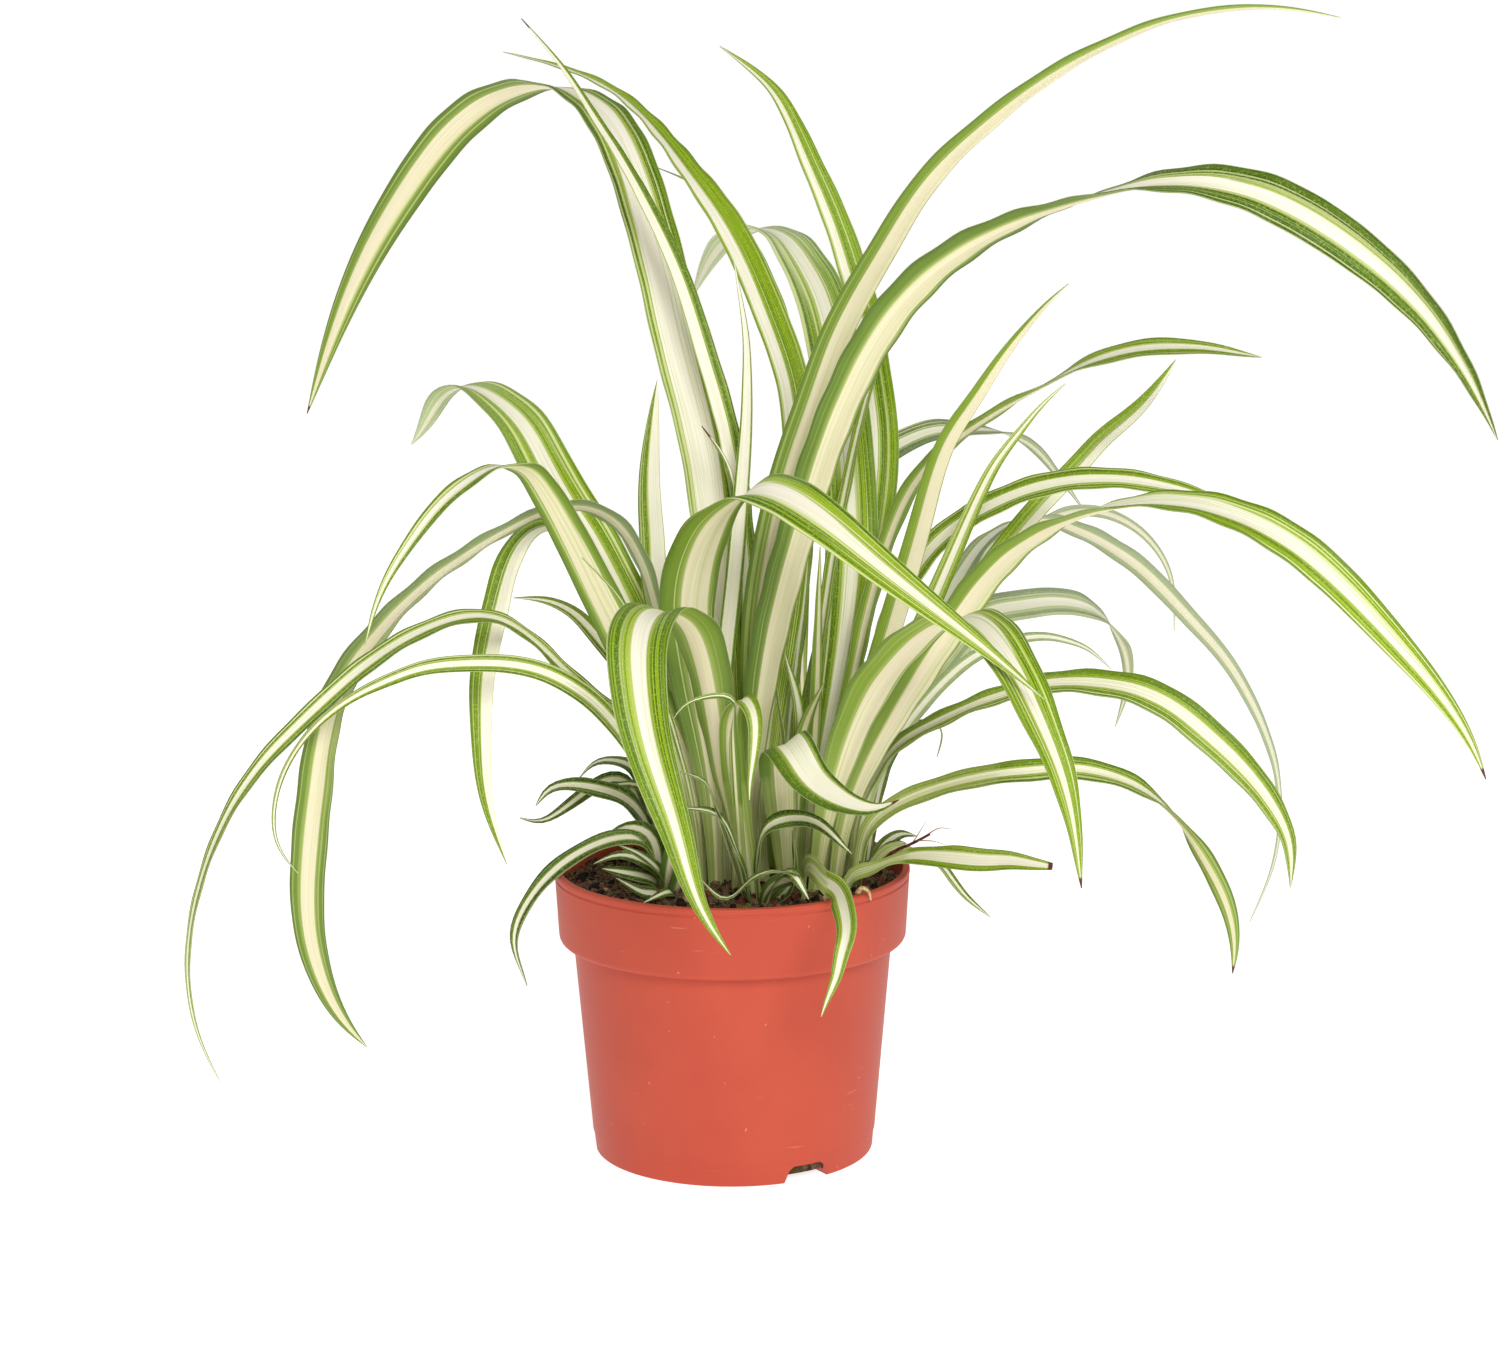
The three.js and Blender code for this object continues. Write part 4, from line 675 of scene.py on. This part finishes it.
def catmull_rom(rib, steps=24):
    """Centripetal Catmull-Rom through the rib's points."""
    points = [np.array(p, float) for p in rib]
    points = [2 * points[0] - points[1]] + points + [2 * points[-1] - points[-2]]
    curve = []
    for before, start, end, after in zip(points, points[1:], points[2:], points[3:]):
        gaps = [max(np.linalg.norm(b - a) ** 0.5, 1e-4)
                for a, b in ((before, start), (start, end), (end, after))]
        leave = ((start - before) / gaps[0] - (end - before) / (gaps[0] + gaps[1])) * gaps[1] + end - start
        reach = ((after - end) / gaps[2] - (after - start) / (gaps[1] + gaps[2])) * gaps[1] + end - start
        for k in range(steps):
            t = k / steps
            curve.append(start + leave * t + (3 * (end - start) - 2 * leave - reach) * t ** 2
                         + (2 * (start - end) + leave + reach) * t ** 3)
    return np.array(curve + [points[-2]])


def spaced(curve, count):
    """Evenly spaced points on a curve, and its length."""
    travelled = np.r_[0, np.cumsum(np.linalg.norm(np.diff(curve, axis=0), axis=1))]
    goals = np.linspace(0, travelled[-1], count)
    return np.stack([np.interp(goals, travelled, curve[:, k]) for k in range(3)], axis=1), travelled[-1]


def evened(rows, reach):
    """Rows evened out along their length over about reach of them each way, with both ends kept."""
    far = int(3 * reach) + 1
    weights = np.exp(-0.5 * (np.arange(-far, far + 1) / reach) ** 2)
    weights /= weights.sum()
    before = 2 * rows[0] - rows[far:0:-1]
    after = 2 * rows[-1] - rows[-2:-far - 2:-1]
    padded = np.concatenate([before, rows, after])
    return sum(weight * padded[k:k + len(rows)] for k, weight in enumerate(weights))


def at_share(values, share):
    """A value, or the one that a row of them from foot to tip gives at share."""
    if isinstance(values, (int, float)):
        return float(values)
    return float(np.interp(share, np.linspace(0, 1, len(values)), values))


def blade_width(leaf, share, tip):
    """A blade's width at a share of its length: from the foot out to its greatest, then in to the tip."""
    foot = min(leaf["foot"], leaf["width"])
    if share < leaf["shoulder"]:
        return foot + (leaf["width"] - foot) * smooth(share / leaf["shoulder"])
    out = (share - leaf["shoulder"]) / (1 - leaf["shoulder"])
    return leaf["width"] * (1 - out ** leaf["taper"]) + tip * out


def add_blade(store, leaf, seed):
    """Adds one blade's points, faces and marks to store."""
    look = {**DEFAULT_LOOK, **leaf["look"]}
    curve = catmull_rom(leaf["rib"])
    length = spaced(curve, 2)[1]
    count = max(16, int(length / STATION))
    path, length = spaced(curve, count + 1)
    reach = max(1.0, min(EVENING * count, (count - 2) / (3.2 * TURN_EVENING) - 1))
    path = evened(path, reach)
    turns = np.array([at_share(leaf["turn"], i / count) for i in range(count + 1)])
    turns = evened(turns, TURN_EVENING * reach)
    tangents = np.gradient(path, axis=0)
    tangents /= np.linalg.norm(tangents, axis=1)[:, None]
    upper = path[0] - path[-1]
    upper[2] = 0
    phase = random.Random(seed).uniform(0, 6.28)
    ripple = random.Random(seed + 1).uniform(*RIPPLES)
    columns = 2 * HALF_COLUMNS + 1
    base = len(store["points"])
    for i, (point, along) in enumerate(zip(path, tangents)):
        share = i / count
        upper = upper - upper.dot(along) * along
        upper /= np.linalg.norm(upper)
        turn = math.radians(turns[i])
        face = upper * math.cos(turn) + np.cross(along, upper) * math.sin(turn)
        across = np.cross(along, face)
        half = blade_width(leaf, share, look["tip"]) / 2
        fold = look["fold"] + (FOOT_FOLD - look["fold"]) * (1 - smooth(share / FOOT_SHARE))
        lift = math.sin(math.radians(fold)) * half
        narrow = math.cos(math.radians(max(0, fold - LEVEL_FOLD)))
        travelled = share * length
        wave = look["wave"] * smooth(share * 4) * min(1, half / 4)
        foot = look["foot"] * smooth((PALE_TOP - point[2]) / PALE_REACH) if share < PALE_SHARE else 0.0
        dry = smooth(1 - (length - travelled) / look["dry"]) if look["dry"] else 0.0
        for key in ("cream", "shift", "lines", "tone", "pale"):
            store[key] += [at_share(look[key], share)] * (2 * columns)
        for side in (1, -1):
            for j in range(columns):
                c = (j - HALF_COLUMNS) / HALF_COLUMNS
                # a V rounded off at the rib, from 0 there to 1 at the edge
                bend = (math.sqrt(c * c + 0.03) - 0.173) / 0.842
                beat = travelled / ripple * 6.28 + phase + (1.3 if c > 0 else 0)
                ripple_here = wave * c * c * math.sin(beat)
                thick = THICKNESS * (1 - 0.55 * c * c) * min(1, 0.4 + half / 3) / 2
                height = lift * bend - 0.12 * half * c ** 4 + ripple_here + side * thick
                store["points"].append(point + across * c * half * narrow + face * height)
                store["across"].append(c)
                store["along"].append(travelled)
                store["under"].append(0.0 if side > 0 else 1.0)
                store["foot"].append(foot)
                store["dry"].append(dry)
    stride = 2 * columns
    for i in range(count):
        a = base + i * stride
        b = a + stride
        for j in range(columns - 1):
            store["faces"].append((a + j, a + j + 1, b + j + 1, b + j))
            low_a, low_b = a + columns + j, b + columns + j
            store["faces"].append((low_a + 1, low_a, low_b, low_b + 1))
        last = columns - 1
        store["faces"].append((a, b, b + columns, a + columns))
        store["faces"].append((a + last, a + columns + last, b + columns + last, b + last))
    for start, flip in ((base, False), (base + count * stride, True)):
        for j in range(columns - 1):
            ring = (start + j, start + columns + j, start + columns + j + 1, start + j + 1)
            store["faces"].append(ring[::-1] if flip else ring)
    store["seed"] += [seed * 3.7] * (2 * columns * (count + 1))


MARKS = ("across", "along", "under", "foot", "dry", "cream", "shift", "lines", "tone", "pale", "seed")


def new_store():
    return {"points": [], "faces": [], **{key: [] for key in MARKS}}


def foliage(name, leaves, seed, material):
    """One piece made of one or more blades, standing for the CAD node of the same name."""
    store = new_store()
    for k, leaf in enumerate(leaves):
        add_blade(store, leaf, seed + 13 * k)
    mesh = mesh_from(name, store["points"], store["faces"])
    for key in MARKS:
        mesh.attributes.new(key, "FLOAT", "POINT").data.foreach_set("value", store[key])
    smooth_shade(mesh, 60)
    piece = link(name + "_blade", mesh, material)
    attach(piece, "root")
    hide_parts(name)


# ---- pot -----------------------------------------------------------------------------------------

def body_radius(height):
    """The pot's outside under the band."""
    return FOOT_RADIUS + (BODY_TOP_RADIUS - FOOT_RADIUS) * height / BAND_FOOT


def band_radius(height):
    """The rim band's outside."""
    return BAND_FOOT_RADIUS + (RIM_RADIUS - BAND_FOOT_RADIUS) * (height - BAND_FOOT) / BAND_HEIGHT


def rounded(corners, steps=5):
    """A profile whose corners (radius, height, rounding) are rounded off."""
    outline = []
    for k, (r, z, rounding) in enumerate(corners):
        here = Vector((r, z))
        if not rounding or k in (0, len(corners) - 1):
            outline.append(here)
            continue
        start = here + (Vector(corners[k - 1][:2]) - here).normalized() * rounding
        end = here + (Vector(corners[k + 1][:2]) - here).normalized() * rounding
        for step in range(steps + 1):
            t = step / steps
            outline.append((1 - t) ** 2 * start + 2 * t * (1 - t) * here + t ** 2 * end)
    return outline


def lathe(name, outline, segments=160):
    """A solid turned about Z from an outline that starts and ends on the axis."""
    points, faces = [], []
    for point in outline[1:-1]:
        for s in range(segments):
            angle = 2 * math.pi * s / segments
            points.append((point[0] * math.cos(angle), point[0] * math.sin(angle), point[1]))
    rings = len(outline) - 2
    points += [(0, 0, outline[0][1]), (0, 0, outline[-1][1])]
    for ring in range(rings - 1):
        for s in range(segments):
            a, b = ring * segments + s, ring * segments + (s + 1) % segments
            faces.append((a, b, b + segments, a + segments))
    for s in range(segments):
        faces.append((s, rings * segments, (s + 1) % segments))
        top = (rings - 1) * segments
        faces.append((top + s, top + (s + 1) % segments, rings * segments + 1))
    return mesh_from(name, points, faces)


def notch_cutter():
    """The three drain notches, as one mesh to be cut away."""
    low, high, corner = NOTCH_FLOOR_WIDTH / 2, NOTCH_TOP_WIDTH / 2, 1.4
    right = [(low + 0.3, -1), (high + 0.3, NOTCH_HEIGHT - corner), (high - corner, NOTCH_HEIGHT)]
    outline = [(-right[0][0], right[0][1])] + right + [(-x, z) for x, z in right[:0:-1]]
    points, faces = [], []
    for direction in NOTCH_DIRECTIONS:
        angle = math.radians(direction)
        out, side = (math.cos(angle), math.sin(angle)), (-math.sin(angle), math.cos(angle))
        base = len(points)
        for reach in (FOOT_RADIUS - NOTCH_REACH, FOOT_RADIUS + 4):
            for width, z in outline:
                points.append((out[0] * reach + side[0] * width, out[1] * reach + side[1] * width, z))
        n = len(outline)
        faces.append([base + k for k in range(n)][::-1])
        faces.append([base + n + k for k in range(n)])
        for k in range(n):
            j = (k + 1) % n
            faces.append((base + k, base + j, base + n + j, base + n + k))
    return mesh_from("notches", points, faces)


def make_pot():
    lip = POT_HEIGHT - 2.2
    corners = [
        (0, 0, 0), (FOOT_RADIUS - 0.3, 0, 0.6), (body_radius(MOULD_LINE) - 0.3, MOULD_LINE, 0.08),
        (body_radius(MOULD_LINE), MOULD_LINE + 0.3, 0.15), (BODY_TOP_RADIUS, BAND_FOOT, 0.5),
        (BAND_FOOT_RADIUS, BAND_FOOT, 2.2), (band_radius(lip - 0.9), lip - 0.9, 0.1),
        (band_radius(lip) - 0.35, lip - 0.5, 0.12), (band_radius(lip) - 0.35, lip - 0.1, 0.12),
        (RIM_RADIUS, lip + 0.5, 0.3), (RIM_RADIUS, POT_HEIGHT, 0.8), (RIM_RADIUS - 2.4, POT_HEIGHT, 0.5),
        (BAND_FOOT_RADIUS - WALL, BAND_FOOT + WALL, 1.5), (BODY_TOP_RADIUS - WALL, BAND_FOOT + WALL, 1),
        (body_radius(FLOOR) - WALL, FLOOR, 1), (0, FLOOR, 0),
    ]
    mesh = lathe("pot", rounded(corners))
    pot = link("pot_shell", mesh, pot_material())
    cutter = link("notch_cutter", notch_cutter(), None)
    cut = pot.modifiers.new("notches", "BOOLEAN")
    cut.object = cutter
    cut.solver = "EXACT"
    bpy.context.view_layer.update()
    shaped = bpy.data.meshes.new_from_object(pot.evaluated_get(bpy.context.evaluated_depsgraph_get()))
    pot.modifiers.clear()
    pot.data = shaped
    bpy.data.objects.remove(cutter)
    smooth_shade(shaped, 35)
    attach(pot, "root")
    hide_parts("pot")


# ---- soil ----------------------------------------------------------------------------------------

def soil_height(x, y):
    """The crumbly top of the soil, in millimetres."""
    r = math.hypot(x, y)
    spot = Vector((x, y, 0))
    rise = 1.4 * smooth(1 - r / SOIL_RADIUS)
    rough = 1.3 * noise.noise(spot * 0.11) + 0.9 * noise.noise(spot * 0.35) + 0.5 * noise.noise(spot * 0.9)
    return SOIL_LEVEL - 0.6 + rise + rough


def make_soil(material):
    """The fill, with a crumbly top and no well."""
    segments, rings = 260, 64
    points, faces = [], []
    for ring in range(1, rings + 1):
        r = SOIL_RADIUS * ring / rings
        for s in range(segments):
            angle = 2 * math.pi * s / segments
            x, y = r * math.cos(angle), r * math.sin(angle)
            points.append((x, y, soil_height(x, y)))
    for r, z in SOIL_SIDE:
        for s in range(segments):
            angle = 2 * math.pi * s / segments
            points.append((r * math.cos(angle), r * math.sin(angle), z))
    total = rings + len(SOIL_SIDE)
    for ring in range(total - 1):
        for s in range(segments):
            a, b = ring * segments + s, ring * segments + (s + 1) % segments
            faces.append((a, a + segments, b + segments, b))
    points += [(0, 0, soil_height(0, 0)), (0, 0, SOIL_SIDE[-1][1])]
    top, bottom = total * segments, total * segments + 1
    last = (total - 1) * segments
    for s in range(segments):
        t = (s + 1) % segments
        faces.append((top, s, t))
        faces.append((bottom, last + t, last + s))
    mesh = mesh_from("soil", points, faces)
    smooth_shade(mesh, 50)
    soil = link("soil_fill", mesh, material)
    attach(soil, "root")
    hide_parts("soil")


def crumb(points, faces, rng, centre, size):
    """A rough lump: an icosahedron pushed about."""
    phi = 1.618
    corners = [(-1, phi, 0), (1, phi, 0), (-1, -phi, 0), (1, -phi, 0), (0, -1, phi), (0, 1, phi),
               (0, -1, -phi), (0, 1, -phi), (phi, 0, -1), (phi, 0, 1), (-phi, 0, -1), (-phi, 0, 1)]
    triangles = [(0, 11, 5), (0, 5, 1), (0, 1, 7), (0, 7, 10), (0, 10, 11), (1, 5, 9), (5, 11, 4),
                 (11, 10, 2), (10, 7, 6), (7, 1, 8), (3, 9, 4), (3, 4, 2), (3, 2, 6), (3, 6, 8),
                 (3, 8, 9), (4, 9, 5), (2, 4, 11), (6, 2, 10), (8, 6, 7), (9, 8, 1)]
    base = len(points)
    turn = Euler([rng.uniform(0, 6.28) for _ in range(3)])
    squash = Vector((rng.uniform(0.7, 1.3), rng.uniform(0.7, 1.2), rng.uniform(0.5, 0.9)))
    for corner in corners:
        v = Vector(corner) * (size / 1.9) * rng.uniform(0.8, 1.2)
        v = Vector((v.x * squash.x, v.y * squash.y, v.z * squash.z))
        v.rotate(turn)
        points.append(Vector(centre) + v)
    faces += [tuple(base + k for k in t) for t in triangles]


def make_crumbs(material):
    """The loose grains that cover the soil."""
    rng = random.Random(5)
    points, faces = [], []
    for _ in range(CRUMBS):
        angle = rng.uniform(0, 2 * math.pi)
        r = (SOIL_RADIUS - 1.2) * math.sqrt(rng.random())
        size = 0.35 + 1.1 * rng.random() ** 2.5
        x, y = r * math.cos(angle), r * math.sin(angle)
        crumb(points, faces, rng, (x, y, soil_height(x, y) + size * 0.35), size)
    crumbs = link("soil_crumbs", mesh_from("crumbs", points, faces), material)
    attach(crumbs, "root")


def tube(points, faces, path, thick, tip, sides):
    """A tapering rod along a path; thick is its width at the start, tip the share left at the end."""
    path, _ = spaced(catmull_rom(path, 8), 14)
    tangents = np.gradient(path, axis=0)
    base = len(points)
    for k, (point, along) in enumerate(zip(path, tangents)):
        along = Vector(along).normalized()
        side = along.cross(Vector((0.3, 0.2, 1))).normalized()
        other = along.cross(side)
        radius = thick / 2 * (1 - (1 - tip) * k / (len(path) - 1))
        for s in range(sides):
            angle = 2 * math.pi * s / sides
            points.append(Vector(point) + radius * (math.cos(angle) * side + math.sin(angle) * other))
    for k in range(len(path) - 1):
        for s in range(sides):
            a, b = base + k * sides + s, base + k * sides + (s + 1) % sides
            faces.append((a, b, b + sides, a + sides))
    faces.append([base + s for s in range(sides)][::-1])
    faces.append([base + (len(path) - 1) * sides + s for s in range(sides)])


def litter(name, points, faces, material):
    piece = link(name, mesh_from(name, points, faces), material)
    smooth_shade(piece.data, 50)
    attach(piece, "root")


def make_fibres(rng):
    points, faces = [], []
    for _ in range(FIBRES):
        angle, r = rng.uniform(0, 6.28), (SOIL_RADIUS - 4) * math.sqrt(rng.random())
        x, y = r * math.cos(angle), r * math.sin(angle)
        heading, reach = rng.uniform(0, 6.28), rng.uniform(2.5, 7)
        path = []
        for t in (0, 1 / 3, 2 / 3, 1):
            px = x + math.cos(heading) * reach * t + rng.uniform(-0.5, 0.5)
            py = y + math.sin(heading) * reach * t + rng.uniform(-0.5, 0.5)
            inward = min(1, (SOIL_RADIUS - 1.5) / max(1, math.hypot(px, py)))
            height = soil_height(px, py) + 0.3 + rng.uniform(0, 1.0) * math.sin(3.1 * t)
            path.append((px * inward, py * inward, height))
        tube(points, faces, path, rng.uniform(0.16, 0.34), 0.5, 4)
    litter("soil_fibres", points, faces, litter_material("fibre", (160, 126, 90), (122, 90, 62)))


def make_chips(rng):
    for name, count, colour, other in CHIPS:
        points, faces = [], []
        for _ in range(count):
            angle, r = rng.uniform(0, 6.28), (SOIL_RADIUS - 2.5) * math.sqrt(rng.random())
            x, y = r * math.cos(angle), r * math.sin(angle)
            crumb(points, faces, rng, (x, y, soil_height(x, y) + 0.4), rng.uniform(0.8, 2.4))
        litter(name, points, faces, litter_material(name, colour, other))


def make_moss(rng):
    points, faces = [], []
    for _ in range(MOSS_CLUMPS):
        angle, r = rng.uniform(0, 6.28), rng.uniform(36, 53)
        x, y = r * math.cos(angle), r * math.sin(angle)
        for _ in range(GRAINS_IN_A_CLUMP):
            px, py = x + rng.gauss(0, 1.5), y + rng.gauss(0, 1.5)
            if math.hypot(px, py) < SOIL_RADIUS - 1.5:
                crumb(points, faces, rng, (px, py, soil_height(px, py) + 0.3), rng.uniform(0.4, 0.9))
    litter("moss", points, faces, litter_material("moss", (114, 126, 54), (80, 94, 36)))


def make_rods():
    for name, look, colour, other, tip, sides, rods in RODS:
        points, faces = [], []
        for path, thick in rods:
            tube(points, faces, path, thick, tip, sides)
        litter(name, points, faces, litter_material(look, colour, other))


def make_litter():
    """Fibres, bark chips and moss on the soil, and the bits of old leaf and root that lie on it."""
    rng = random.Random(11)
    make_fibres(rng)
    make_chips(rng)
    make_moss(rng)
    make_rods()


# ---- stage ---------------------------------------------------------------------------------------

def make_stage():
    """A white floor that glows a little, so that it ends in the white surround without a line."""
    reach = FLOOR_REACH
    corners = [(-reach, -reach, 0), (reach, -reach, 0), (reach, reach, 0), (-reach, reach, 0)]
    look = Nodes("floor")
    look.shader.inputs["Emission Color"].default_value = (1, 1, 1, 1)
    look.shader.inputs["Emission Strength"].default_value = FLOOR_GLOW
    material = look.finish(linear(206, 202, 200), 0.9, 0.1)
    floor = link("floor", mesh_from("floor", corners, [(0, 1, 2, 3)]), material)


def make_light():
    """A white surround that lights softly, a large key at the front and a weak lamp at the back."""
    world = bpy.data.worlds.new("studio")
    world.use_nodes = True
    tree = world.node_tree
    surround = tree.nodes["Background"]
    surround.inputs["Color"].default_value = (1, 1, 1, 1)
    ray = tree.nodes.new("ShaderNodeLightPath")
    strength = tree.nodes.new("ShaderNodeMapRange")
    strength.inputs["To Min"].default_value = SURROUND_LIGHT
    strength.inputs["To Max"].default_value = 1.0
    tree.links.new(ray.outputs["Is Camera Ray"], strength.inputs["Value"])
    tree.links.new(strength.outputs["Result"], surround.inputs["Strength"])
    bpy.context.scene.world = world
    for name, place, size, power in LAMPS:
        light = bpy.data.lights.new(name, "AREA")
        light.size = size
        light.energy = power
        lamp = bpy.data.objects.new(name, light)
        lamp.location = place
        lamp.rotation_euler = (Vector(LAMPS_POINT_AT) - Vector(place)).to_track_quat("-Z", "Y").to_euler()
        bpy.context.scene.collection.objects.link(lamp)
    bpy.context.scene.view_settings.view_transform = "Standard"


def make_camera():
    camera = bpy.data.cameras.new("camera")
    camera.sensor_width = FILM_WIDTH
    camera.lens = LENS
    holder = bpy.data.objects.new("camera", camera)
    holder.location = CAMERA_PLACE
    holder.rotation_euler = Euler((math.radians(90 - CAMERA_LOOKS_DOWN), 0, 0))
    holder.rotation_euler.rotate_axis("Z", math.radians(CAMERA_ROLL))
    bpy.context.scene.collection.objects.link(holder)
    bpy.context.scene.camera = holder


make_camera()
make_stage()
make_light()
make_pot()
soil_look = soil_material()
make_soil(soil_look)
make_crumbs(soil_look)
make_litter()
# the seeds lie so far apart that no two blades share one
leaf_look = leaf_material()
for number, (name, leaf) in enumerate(LEAVES.items()):
    foliage(name, [{**COMMON_LEAF, **leaf, "look": LOOKS.get(name, {})}], 101 + 31 * number, leaf_look)
for number, (name, leaves) in enumerate(ROSETTES.items()):
    young = [{**YOUNG_LEAF, **leaf, "look": LOOKS["rosette"]} for leaf in leaves]
    foliage(name, young, 7001 + 211 * number, leaf_look)

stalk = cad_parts["dry_stalk"]
stalk.data.materials.clear()
stalk.data.materials.append(litter_material("dry_stalk", (104, 56, 46), (68, 34, 32), 900.0))
